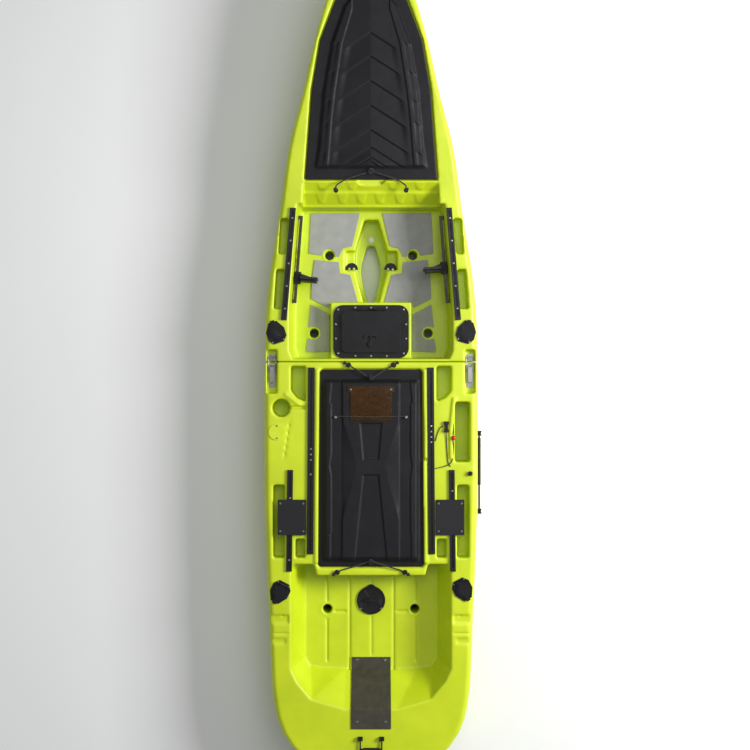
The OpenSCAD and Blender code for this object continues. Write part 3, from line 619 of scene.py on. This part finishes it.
def bow_tools():
    """Foot well, island, steps, drive well, hatch tub, pockets, drains and rod tubes of the bow section."""
    lower_step = [both_sides([(286, 640), (286, 650)]), both_sides([(292, 640), (290, 697)])]
    upper_step = [both_sides([(284, 640), (284, 703)]), both_sides([(290, 640), (284, 738)])]
    tools = [(CUT, prism(FOOT_LOW, FOOT_HIGH, FOOT_FLOOR_Z, DECK_Z + 1)),
             (JOIN, straight(box_outline(-172, -14, 172, 236), 100, ISLAND_Z)),
             (CUT, prism(*lower_step, 240, 298)),
             (CUT, prism(*upper_step, 296, 338))]
    tools += step_bumps()
    tools += [(CUT, straight(DRIVE_WELL, 80, FOOT_FLOOR_Z + 20)),
              (CUT, straight(DRIVE_ALCOVE, 120, FOOT_FLOOR_Z + 4)),
              (CUT, straight(DRIVE_SLOT, -10, 90)),
              (CUT, straight(box_outline(-120, 12, 120, 202), 95, ISLAND_Z + 2)),
              (CUT, straight(arc_outline(0, 741, 57, 36, 0.37), 318, 350))]
    for low, outline in ((-16, HATCH_RIM), (-190, HATCH_TUB)):
        tools.append((CUT, placed(straight(outline, low, 6), FOREDECK)))
    for side in (1, -1):
        turn = (lambda o: o) if side > 0 else mirrored
        tools += [(CUT, straight(turn(p), POCKET_Z, CUT_TOP_Z)) for p in SIDE_POCKETS]
        tools.append((CUT, straight(turn(LATCH_RECESS), LATCH_FLOOR_Z, CUT_TOP_Z)))
        for x, y, floor in SCUPPERS[:2]:
            tools += scupper_tools(side * x, y, floor)
        tools.append((JOIN, strip((side * 322, 236), (side * 303, 470), 4, 200, 234)))
    return tools + [rod_tool(0), rod_tool(1)]


def stern_tools():
    """Cover recess, bin, tank well, pockets, ribs, drains and rod tubes of the stern section."""
    tools = [(CUT, straight(COVER_RECESS, DECK_Z - 14, CUT_TOP_Z)),
             (CUT, straight(box_outline(-196, -862, 196, -66), BIN_Z, DECK_Z)),
             (CUT, prism(TANK_LOW, TANK_HIGH, TANK_FLOOR_Z, DECK_Z + 1))]
    grooves = [((-189, -901), (-189, -1060)), ((-189, -1119), (-189, -1310)), ((-92, -905), (-92, -1350)),
               ((2, -899), (2, -974)), ((2, -1107), (2, -1279)), ((97, -905), (97, -1350)),
               ((193, -901), (193, -1057)), ((193, -1115), (193, -1308)), ((-164, -1090), (-105, -1090)),
               ((105, -1090), (164, -1090))]
    tools += [(CUT, strip(a, b, 11, TANK_FLOOR_Z - 7, TANK_FLOOR_Z + 6)) for a, b in grooves]
    for side in (1, -1):
        turn = (lambda o: o) if side > 0 else mirrored
        tools += [(CUT, straight(turn(BOX_RECESS), DEEP_POCKET_Z, CUT_TOP_Z)),
                  (CUT, straight(turn(LATCH_RECESS), LATCH_FLOOR_Z, CUT_TOP_Z)),
                  (CUT, straight(turn(box_outline(362, -842, 412, -535)), DEEP_POCKET_Z, CUT_TOP_Z)),
                  (CUT, straight(turn(box_outline(276, -842, 318, -762)), DEEP_POCKET_Z, CUT_TOP_Z)),
                  (CUT, straight(turn(box_outline(344, -1121, 452, -1081)), DECK_Z - 7, DECK_Z + 8)),
                  (CUT, straight(turn(box_outline(344, -1163, 452, -1155)), DECK_Z - 5, DECK_Z + 8)),
                  (CUT, straight(turn(box_outline(356, -1207, 446, -1178)), DECK_Z - 5, DECK_Z + 8))]
        tools += scupper_tools(side * SCUPPERS[2][0], SCUPPERS[2][1], SCUPPERS[2][2])
        holes = [(353, -1141), (377, -1141), (353, -1058), (377, -1058), (373, -1086), (361, -1230)]
        tools += [(CUT, cylinder(side * x, y, 4, DECK_Z - 14, DECK_Z + 8, 16)) for x, y in holes]
        runs = [(-50, -862)] if side < 0 else [(-50, -422), (-436, -862)]
        tools += [(JOIN, strip((side * 226, a), (side * 230, b), 14, DECK_Z - 30, DECK_Z + 7))
                  for a, b in runs]
    tools += [(JOIN, straight(box_outline(430, y - 17, 450.5, y + 17), 262, 305)) for y in (-321, -651)]
    tools += [(CUT, straight(box_outline(353, -440, 416, -186), DECK_Z - 110, CUT_TOP_Z)),
              (JOIN, strip((350, -170), (336, -300), 13, DECK_Z - 20, DECK_Z + 7)),
              (JOIN, strip((336, -296), (338, -425), 13, DECK_Z - 20, DECK_Z + 7)),
              (JOIN, cylinder(416, -487, 25, DECK_Z - 20, DECK_Z + 1)),
              (CUT, cylinder(-378, -212, 38, DECK_Z - 90, DECK_Z + 8, 48)),
              (CUT, strip((-345, -210), (-265, -210), 12, DECK_Z - 12, DECK_Z + 8)),
              (CUT, strip((-340, -254), (-367, -430), 9, DECK_Z - 6, DECK_Z + 8)),
              (JOIN, strip((-361, -153), (-298, -200), 9, DECK_Z - 20, DECK_Z + 5)),
              (CUT, cylinder(0, -1042, 50, 100, TANK_FLOOR_Z + 10, 48))]
    return tools + [rod_tool(2), rod_tool(3)]


VOXEL = 4.6


def make_hull(name, rings, tools, node):
    obj = new_object(name, skin(name, [section(y) for y in finer(rings)]))
    carve(obj, tools)
    soft_edges(obj, VOXEL, 4)
    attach(obj, "hull")
    paint(obj, LIME)
    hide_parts(node)
    return obj


make_hull("bow_shell", BOW_RINGS, bow_tools(), "bow_hull")
make_hull("stern_shell", STERN_RINGS, stern_tools(), "stern_hull")


# ---------------------------------------------------------------- moulded covers


def panel(name, rows, half_width, top, bottom, columns, place=None):
    """A moulded panel: a fine sheet of points with a skirt and a flat underside, in millimetres."""
    ys = np.asarray(rows, float)
    across = np.linspace(-1, 1, columns)
    widths = half_width(ys)
    x = widths[:, None] * across[None, :]
    y = np.repeat(ys[:, None], columns, axis=1)
    z = top(x, y)
    points = [tuple(p) for p in np.stack([x, y, z], axis=2).reshape(-1, 3)]
    n = len(ys)
    left = len(points)
    points += [(-w, v, bottom) for w, v in zip(widths, ys)]
    right = len(points)
    points += [(w, v, bottom) for w, v in zip(widths, ys)]
    faces = []
    for j in range(n - 1):
        for i in range(columns - 1):
            a = j * columns + i
            faces.append((a, a + 1, a + columns + 1, a + columns))
        faces.append((left + j, left + j + 1, right + j + 1, right + j))
        faces.append((j * columns, (j + 1) * columns, left + j + 1, left + j))
        faces.append((j * columns + columns - 1, right + j, right + j + 1, (j + 1) * columns + columns - 1))
    faces.append(tuple([left, right] + [columns - 1 - i for i in range(columns)]))
    last = (n - 1) * columns
    faces.append(tuple([right + n - 1, left + n - 1] + [last + i for i in range(columns)]))
    mesh = mesh_of(name, points, faces)
    outward(mesh)
    flat = {len(mesh.polygons) - 1, len(mesh.polygons) - 2}
    mesh.polygons.foreach_set("use_smooth", [i not in flat for i in range(len(mesh.polygons))])
    if place is not None:
        mesh.transform(place)
    return new_object(name, mesh)


def ramp(value, low, high):
    """0 below low, 1 above high, smooth between."""
    t = np.clip((value - low) / (high - low), 0, 1)
    return t * t * (3 - 2 * t)


def steps(position, lines, depth, soft=5.0):
    """A saw-tooth height: it drops at each line going aft and climbs back before the next."""
    z = np.zeros_like(position)
    ordered = sorted(lines, reverse=True)
    for i, line in enumerate(ordered):
        after = ordered[i + 1] if i + 1 < len(ordered) else line - 90
        share = np.clip((line - position) / (line - after), 0, 1)
        tooth = depth * (1 - share) * ramp(line - position, 0, soft)
        z -= np.where((position <= line) & (position > after), tooth, 0)
    return z


def rounded_edge(distance, r):
    """How far a panel's top falls near its edge."""
    d = np.clip(distance, 0, r)
    return r - np.sqrt(np.maximum(r * r - (r - d) ** 2, 0))


# The bow hatch from its aft edge: half widths of its edge, of its raised part's foot and of its ridge.
HATCH_EDGE = [(0, 277), (123, 267), (368, 248), (575, 212), (735, 150), (790, 100), (808, 60)]
HATCH_FOOT = [(50, 240), (130, 226), (368, 204), (560, 170), (712, 116), (776, 64)]
HATCH_RIDGE = [(27, 181), (123, 172), (250, 162), (363, 149), (560, 118), (700, 76)]
CHEVRONS = [78, 94, 136, 207, 308, 409, 510, 606]
FLANK_TICKS = [215, 333, 422, 530, 640]
HATCH_LENGTH = 808
HATCH_PIN_Y = 820


def table_of(pairs):
    xs, ys = zip(*pairs)
    return lambda v: np.interp(v, xs, ys)


def hatch_top(x, y):
    """Height of the bow hatch's top: a roof with chevrons between two ridges, and ticked flanks."""
    ax = np.abs(x)
    ridge = table_of(HATCH_RIDGE)(y)
    foot = table_of(HATCH_FOOT)(y)
    edge = table_of(HATCH_EDGE)(y)
    lift = ramp(y, 40, 62) * (1 - ramp(y, 752, 782))
    roof = 12.5 - 4.5 * ax / ridge
    flank = 13.0 - 4.5 * (ax - ridge) / (foot - ridge)
    inside = 1 - ramp(ax, ridge - 1, ridge + 5)
    chevron = steps(y + ax * 0.628, CHEVRONS, 7.0) * (1 - ramp(ax, ridge - 40, ridge - 12))
    ticks = steps(y + ax * 0.527, FLANK_TICKS, 4.0) * ramp(ax, ridge + 14, ridge + 24)
    high = inside * (roof + chevron) + (1 - inside) * (flank + ticks)
    z = -3 + (high + 3) * (1 - ramp(ax, foot - 18, foot)) * lift
    near = np.minimum(np.minimum(edge - ax, y), HATCH_LENGTH - y)
    return z - rounded_edge(near, 3.0)


def make_bow_hatch():
    step = 2.6
    rows = np.concatenate([[0, 0.8, 2, 3.5], np.arange(5, 803, step), [804, 806, 807.2, 808]])
    obj = panel("bow_hatch_panel", rows, table_of(HATCH_EDGE), hatch_top, -11, int(554 / step), FOREDECK)
    stem = straight(arc_outline(0, 30, 8), -6, 12)
    head = straight(arc_outline(0, 30, 12), 11, 16)
    round_pin = arc_outline(HATCH_PIN_Y, -4, 7, 24)
    barrel = skin("barrel", [[(x, y, z) for y, z in round_pin] for x in (-50, 50)])
    arm = straight(box_outline(-50, 800, 50, 818), -10, -4)
    for i, mesh in enumerate((stem, head, barrel, arm)):
        bit = new_object(f"bow_hatch_bit_{i}", placed(mesh, FOREDECK))
        finish_small(bit, 0.8)
        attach(bit, "bow_hatch")
        paint(bit, COVER)
    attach(obj, "bow_hatch")
    paint(obj, COVER)
    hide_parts("bow_hatch_cover")


def finish_small(obj, width, segments=3, angle=32):
    """Rounds the sharp edges of a small part."""
    mesh = obj.data
    if "custom_normal" in mesh.attributes:
        mesh.attributes.remove(mesh.attributes["custom_normal"])
    mesh.polygons.foreach_set("use_smooth", [True] * len(mesh.polygons))
    weld = obj.modifiers.new("weld", "WELD")
    weld.merge_threshold = 0.00002
    bevel = obj.modifiers.new("bevel", "BEVEL")
    bevel.width = width * MM
    bevel.segments = segments
    bevel.limit_method = "ANGLE"
    bevel.angle_limit = math.radians(angle)
    bevel.harden_normals = True
    bevel.miter_outer = "MITER_ARC"
    return obj


COVER_BACK_Y = -880
COVER_FRONT_Y = -50
# The centre cover along Y: half widths of its edge, of its outer ridges and of its raised middle.
COVER_EDGE = [(-880, 212), (-878, 216), (-872, 221), (-866, 224), (-62, 214), (-56, 211), (-51, 205),
              (-50, 202)]
COVER_RIDGE = [(-880, 172), (-745, 172), (-741, 174), (-737, 168), (-500, 168), (-452, 176), (-405, 168),
               (-194, 168), (-190, 175), (-120, 168), (-50, 168)]
HOURGLASS = [(-880, 122), (-682, 120), (-556, 84), (-456, 60), (-439, 62), (-267, 116), (-50, 122)]
UPPER_RECESS = [(-432, 35), (-272, 49)]
LOWER_RECESS = [(-864, 72), (-489, 35)]


def cover_top(x, y):
    """Height of the centre cover's top: an hourglass between channels, with recesses along it."""
    ax = np.abs(x)
    edge = table_of(COVER_EDGE)(y)
    ridge = table_of(COVER_RIDGE)(y)
    waist = table_of(HOURGLASS)(y)
    low = COVER_Z + 8
    lift = ramp(y, -862, -834) * (1 - ramp(y, -112, -88))
    outer = 341.5 - 2.0 * (ax - ridge) / (200 - ridge)
    channel = 337.0
    shoulder = 344.2 - 5.5 * np.clip((ax - waist) / np.maximum(120 - waist, 3), 0, 1)
    high = np.where(ax < 121, shoulder, channel)
    high = channel + (high - channel) * (1 - ramp(ax, 118, 122))
    high = high + (outer - channel) * ramp(ax, ridge - 4, ridge)
    dip = np.zeros_like(x)
    for recess in (UPPER_RECESS, LOWER_RECESS):
        (y0, _), (y1, _) = recess
        side = table_of(recess)(y)
        dip += ramp(side - ax, 0, 6) * ramp(y - y0, 0, 6) * ramp(y1 - y, 0, 6)
    high = high - 5.0 * dip
    z = low + (high - low) * (1 - ramp(ax, 186, 206)) * lift
    near = np.minimum(np.minimum(edge - ax, y - COVER_BACK_Y), COVER_FRONT_Y - y)
    return z - rounded_edge(near, 3.0)


def make_centre_cover():
    step = 2.5
    ends = [-880, -879.2, -878, -876.5], [-53.5, -52, -50.8, -50]
    rows = np.concatenate([ends[0], np.arange(-875, -55, step), ends[1]])
    obj = panel("centre_cover_panel", rows, table_of(COVER_EDGE), cover_top, COVER_Z, int(440 / step))
    for i, y in enumerate((-80, -860)):
        for j, (r, z0, z1) in enumerate(((7, 320, 349), (10, 348.3, 352.3))):
            bit = new_object(f"cover_knob_{i}_{j}", straight(arc_outline(0, y, r), z0, z1))
            finish_small(bit, 0.9)
            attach(bit, "centre_cover")
            paint(bit, BLACK)
    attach(obj, "centre_cover")
    paint(obj, COVER)
    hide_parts("centre_cover")


make_bow_hatch()
make_centre_cover()


# ---------------------------------------------------------------- deck pads

PAD_T = 5
FRONT_PAD = [(-269, 451), (-260, 626), (-48, 626), (-82, 483), (-120, 474), (-134, 447), (-138, 437),
             (-155, 437), (-158, 455), (-171, 469), (-188, 472), (-203, 464), (-211, 449), (-213, 443)]
MIDDLE_PAD = [(-244, 424), (-139, 414), (-134, 367), (-90, 359), (-57, 241), (-176, 241), (-184, 216),
              (-260, 256), (-256, 338)]
REAR_PAD = [(-260, 231), (-179, 187), (-179, 27), (-277, 25), (-281, 36), (-273, 84), (-258, 80),
            (-238, 80), (-221, 94), (-218, 110), (-224, 126), (-240, 136), (-256, 135), (-271, 132)]


def make_pad(name, outline, node):
    obj = new_object(name, straight(outline, FOOT_FLOOR_Z, FOOT_FLOOR_Z + PAD_T))
    finish_small(obj, 1.4)
    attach(obj, "hull")
    paint(obj, FOAM)
    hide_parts(node)


for place, outline in (("front", FRONT_PAD), ("middle", MIDDLE_PAD), ("rear", REAR_PAD)):
    make_pad(f"foam_{place}_port", outline, f"pad_{place}_port")
    make_pad(f"foam_{place}_starboard", mirrored(outline), f"pad_{place}_starboard")


# ---------------------------------------------------------------- cords on the covers


def around(centre, r, z, start, end, n=4):
    """Points on an arc about a knob or button, in degrees."""
    turns = [math.radians(start + (end - start) * k / n) for k in range(n + 1)]
    return [(centre[0] + r * math.cos(a), centre[1] + r * math.sin(a), z) for a in turns]


def across(port, middle):
    """A symmetrical route: the port half, the part round the knob, and the port half mirrored."""
    return port + middle + [(-x, y, z) for x, y, z in reversed(port)]


HATCH_CORD = across([(-147, 712, 345), (-144, 722, 345), (-120, 738, 346), (-88, 752, 348),
                     (-44, 766, 348)], around((0, 778), 13, 344.6, 190, -10))
FRONT_CORD = across(around((-96, -33), 10.6, 334.2, 90, 0) + [(-80, -40, 337), (-52, -56, 343)],
                    around((0, -80), 11.6, 343.8, 200, 340))
REAR_CORD = across(around((-143, -900), 10.6, 334.2, -90, 0) + [(-126, -893, 337), (-84, -880, 342)],
                   around((0, -860), 11.6, 343.8, 160, 20))
SCREW_CORD = [(-146, -246, 350.4), (-90, -247, 349.8), (0, -248.5, 349.6), (90, -247, 349.8),
              (146, -246, 350.4)]
LINE_ROUTES = [[(271, -351, 333), (276, -330, 333), (286, -304, 334), (296, -290, 336), (305, -288, 337)],
               [(316, -315, 336), (317, -350, 333), (320, -400, 333), (324, -440, 333), (334, -458, 333)],
               [(345, -276, 333), (346, -300, 335), (347, -328, 340)],
               [(347, -348, 340), (347, -380, 334), (344, -412, 333), (338, -438, 334), (322, -452, 338),
                (296, -460, 334), (271, -466, 333)]]


def make_cord(name, route, diameter, body, material, nodes_replaced=(), squash=None):
    path = smooth_route(route, diameter / 4)
    obj, length = tube(name, path, diameter, body, material)
    if nodes_replaced:
        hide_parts(*nodes_replaced)
    if squash:
        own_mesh(obj)
    return obj


KNOT_R = 6.5
KNOT_CORD_D = 4.6
# Share of a bungee's reach along Y that is left when it is off its knob.
RELEASED_SHARE = 0.06


def make_stops(name, points, turn):
    """The knotted ends of a bungee, one at each side of the deck."""
    stops = []
    for i, centre in enumerate(points):
        way = turn if centre[0] < 0 else -turn
        stops.append(knot(f"{name}_knot_{i}", centre, KNOT_R, KNOT_CORD_D, way, "hull", BUNGEE))
    return stops


def released(joint, y):
    """Gathers the joint, axis, anchor and kept share of a bungee that comes off its knob as the cover opens.
    """
    return dict(joint=joint, axis=(0, 1, 0), anchor=(0, y * MM, 0), keep=RELEASED_SHARE)


def make_bungee(name, route, nodes_replaced, stop, turn, joint, knots_y):
    """A bungee with its two knots, the port one at stop."""
    x, y, z = stop
    stops = make_stops(name, [stop, (-x, y, z)], turn)
    make_cord(name, route, CORD_D, "hull", BUNGEE, nodes_replaced, released(joint, knots_y))


make_bungee("bow_bungee", HATCH_CORD, ["bow_hatch_bungee"], (-150, 706, 343), 0.5, "bow_hatch_hinge", 712)
make_bungee("cover_bungee_front", FRONT_CORD, ["cover_bungees"], (-110, -22, 335), 1.1,
            "centre_cover_lift", -28)
make_bungee("cover_bungee_rear", REAR_CORD, (), (-157, -911, 335), 1.1, "centre_cover_lift", -906)
make_cord("cover_screw_cord", SCREW_CORD, SCREW_CORD_D, "centre_cover", LINE)
for i, route in enumerate(LINE_ROUTES):
    replaced = ["rudder_line"] if i == 0 else ()
    make_cord(f"rudder_line_{i}", route, LINE_D, "hull", LINE, replaced)


# ---------------------------------------------------------------- small fittings


def ball(name, centre, r, bore, material):
    """A turned ball with a hole along Y, as an outline swept round the hole."""
    start = math.asin(bore / r)
    outline = [(r * math.sin(a), r * math.cos(a)) for a in np.linspace(start, math.pi - start, 25)]
    outline += [(bore, t) for t in np.linspace(-r * math.cos(start) + 0.6, r * math.cos(start) - 0.6, 6)]
    n, turns = len(outline), 40
    points, faces = [], []
    for k in range(turns):
        a = 2 * math.pi * k / turns
        points += [(centre[0] + q * math.cos(a), centre[1] + t, centre[2] + q * math.sin(a))
                   for q, t in outline]
        for i in range(n):
            j, m = (i + 1) % n, (k + 1) % turns
            faces.append((k * n + i, k * n + j, m * n + j, m * n + i))
    mesh = mesh_of(name, points, faces)
    return paint(new_object(name, outward(mesh), "hull"), material)


def make_clip():
    """The line's clip, a body with two cheeks and a waist between them."""
    outline = [(306, -314), (327, -314), (327, -306), (323, -300), (323, -284), (327, -278), (327, -268),
               (306, -268), (306, -278), (310, -284), (310, -300), (306, -306)]
    clip = new_object("line_clip", straight(outline, DECK_Z, DECK_Z + 12), "hull")
    finish_small(clip, 1.6)
    paint(clip, BLACK)
    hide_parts("line_fittings")
    ball("line_ball", (347, -338, DECK_Z + 10), 9.6, 2.4, RED)


SCREW_R = 4.2
SCREW_SIDES = 20
SLOT_FROM = 1.3
SLOT_W = 1.6
SLOT_DEPTH = 0.7


def screw_row(name, spots, z):
    """Domed screws with a slot each, in one piece. Each ring is a share of the radius and a height."""
    rings = [(1, 0), (1, 0.5), (0.9, 1.2), (0.6, 1.7), (0.25, 1.9)]
    n = SCREW_SIDES
    points, faces = [], []
    for x, y in spots:
        first = len(points)
        for share, h in rings:
            for k in range(n):
                a = 2 * math.pi * k / n
                slot = h > SLOT_FROM and abs(SCREW_R * share * math.sin(a)) < SLOT_W / 2
                points.append((x + SCREW_R * share * math.cos(a), y + SCREW_R * share * math.sin(a),
                               z + h - (SLOT_DEPTH if slot else 0)))
        for j in range(len(rings) - 1):
            for k in range(n):
                m = (k + 1) % n
                quad = (j * n + k, j * n + m, (j + 1) * n + m, (j + 1) * n + k)
                faces.append([first + i for i in quad])
        last = first + n * (len(rings) - 1)
        faces += [[first + k for k in range(n - 1, -1, -1)], [last + k for k in range(n)]]
    screws = new_object(name, outward(mesh_of(name, points, faces)), "hull")
    paint(screws, STEEL)


def make_pedal_fins():
    """The wedge behind each foot pedal's plate, seen from above as a pointed fin."""
    for side, name, y in ((-1, "port", 340), (1, "starboard", 382)):
        low = [(300, y + 21), (300, y - 20), (229, y - 24), (229, y - 6)]
        high = [(298, y + 14), (298, y - 16), (231, y - 23), (231, y - 10)]
        turn = (lambda o: o) if side > 0 else mirrored
        fin = new_object(f"pedal_fin_{name}", prism(turn(low), turn(high), 238, 292), f"foot_pedal_{name}")
        finish_small(fin, 1.6)
        paint(fin, BLACK)


def on_line(a, b, ys):
    """Points at the given ys on the line from a to b."""
    return [(a[0] + (b[0] - a[0]) * (y - a[1]) / (b[1] - a[1]), y) for y in ys]


SEAT_RAIL_ENDS = ((256, -825), (250, -42))
RAIL_SCREW_YS = {-1: (-384, -407, -430, -491), 1: (-288, -311, -334, -355)}
REAR_TRACK_ENDS = ((344, -898), (339, -472))
REAR_SCREW_YS = {-1: (-590, -850), 1: (-560,)}
FRONT_TRACK_ENDS = ((366, 157), (327, 628))
FRONT_SCREW_YS = (205, 300, 395, 490, 585)
SCREW_SINK = 1.4


def make_rail_screws():
    """The screws that show in the seat rails and in the accessory tracks."""
    rail, track = [], []
    for side in (-1, 1):
        rail += [(side * x, y) for x, y in on_line(*SEAT_RAIL_ENDS, RAIL_SCREW_YS[side])]
        track += [(side * x, y) for x, y in on_line(*REAR_TRACK_ENDS, REAR_SCREW_YS[side])]
        track += [(side * x, y) for x, y in on_line(*FRONT_TRACK_ENDS, FRONT_SCREW_YS)]
    screw_row("rail_screws", rail, DECK_Z + RAIL_H - SCREW_SINK)
    screw_row("track_screws", track, DECK_Z + RAIL_H - SCREW_SINK)


# ---------------------------------------------------------------- carried-over fittings

# By how a node's name starts: its finish and the width of its bevels in millimetres.
FINISHES = {
    "bow_hatch_seal": (RUBBER, 0.6), "bow_hatch_hinge": (BLACK, 0.8), "lashing_buttons": (BLACK, 1.2),
    "centre_hatch_frame": (BLACK, 1.2), "centre_hatch_lid": (COVER, 1.5), "centre_hatch_latch": (BLACK, 1.0),
    "front_track": (TRACK, 0.5), "rear_track": (TRACK, 0.5), "seat_rails": (TRACK, 0.5),
    "rear_plates": (COVER, 1.0),
    "foot_rail": (RAIL, 0.7), "foot_pedal": (BLACK, 1.5), "drive_lock_port": (BLACK, 0.8),
    "drive_lock_starboard": (BLACK, 0.8), "drive_lock_brackets": (STEEL, 0.3), "rod_holder": (BLACK, 1.2),
    "rod_cap": (COVER, 1.2), "latch_plates": (STEEL, 0.4), "latch_lever": (STEEL, 0.4),
    "latch_bail": (STEEL, 0.3),
    "amber_panel": (AMBER, 0.5), "cover_screws": (STEEL, 0.4), "round_hatch_ring": (BLACK, 1.5),
    "round_hatch_lid": (COVER, 1.2), "motor_plate": (BRONZE, 0.5), "inspection_plate": (LIME, 1.2),
    "handle_saddles": (BLACK, 0.7), "bow_handle": (BLACK, 1.0), "stern_handle": (BLACK, 1.0),
    "side_handle": (BLACK, 1.0),
    "rudder_bracket": (STEEL, 0.6), "rudder_head": (BLACK, 0.8), "rudder_blade": (BLACK, 1.0),
    "deck_screws": (STEEL, 0.3),
}
make_clip()
make_rail_screws()
make_pedal_fins()
for name, node in nodes.items():
    if node.hide_render:
        continue
    key = next(k for k in FINISHES if name.startswith(k))
    finish, width = FINISHES[key]
    finish_small(node, width)
    paint(node, finish)


# ---------------------------------------------------------------- floor and light


def make_floor():
    mesh = bpy.data.meshes.new("floor")
    size = 60
    corners = [(-size, -size, 0), (size, -size, 0), (size, size, 0), (-size, size, 0)]
    mesh.from_pydata(corners, [], [(0, 1, 2, 3)])
    floor = new_object("floor", mesh)
    floor.location.z = -0.002
    f = Finish("floor", 0.9)
    f.colour(f.mixed(f.ranged(f.noise(0.6, 3), 0.3, 0.7, 0, 1), (0.86, 0.86, 0.86), (0.90, 0.90, 0.90)))
    paint(floor, f.material)


def area_light(name, location, size, energy, target=(0, 0, 0.2)):
    data = bpy.data.lights.new(name, "AREA")
    data.size = size
    data.energy = energy
    light = bpy.data.objects.new(name, data)
    light.location = location
    light.rotation_mode = "QUATERNION"
    light.rotation_quaternion = (Vector(target) - Vector(location)).to_track_quat("-Z", "Y")
    scene.collection.objects.link(light)


def make_light():
    area_light("key", (4.2, 0.6, 3.2), 1.8, 330)
    area_light("top", (0.9, 1.2, 5.0), 3.0, 70)
    area_light("fill", (-4.0, -1.0, 3.0), 4.0, 14)
    world = bpy.data.worlds.new("studio")
    scene.world = world
    world.use_nodes = True
    background = world.node_tree.nodes["Background"]
    background.inputs["Color"].default_value = (0.95, 0.97, 1.0, 1)
    background.inputs["Strength"].default_value = 0.24
    scene.view_settings.view_transform = "Standard"


make_floor()
make_light()
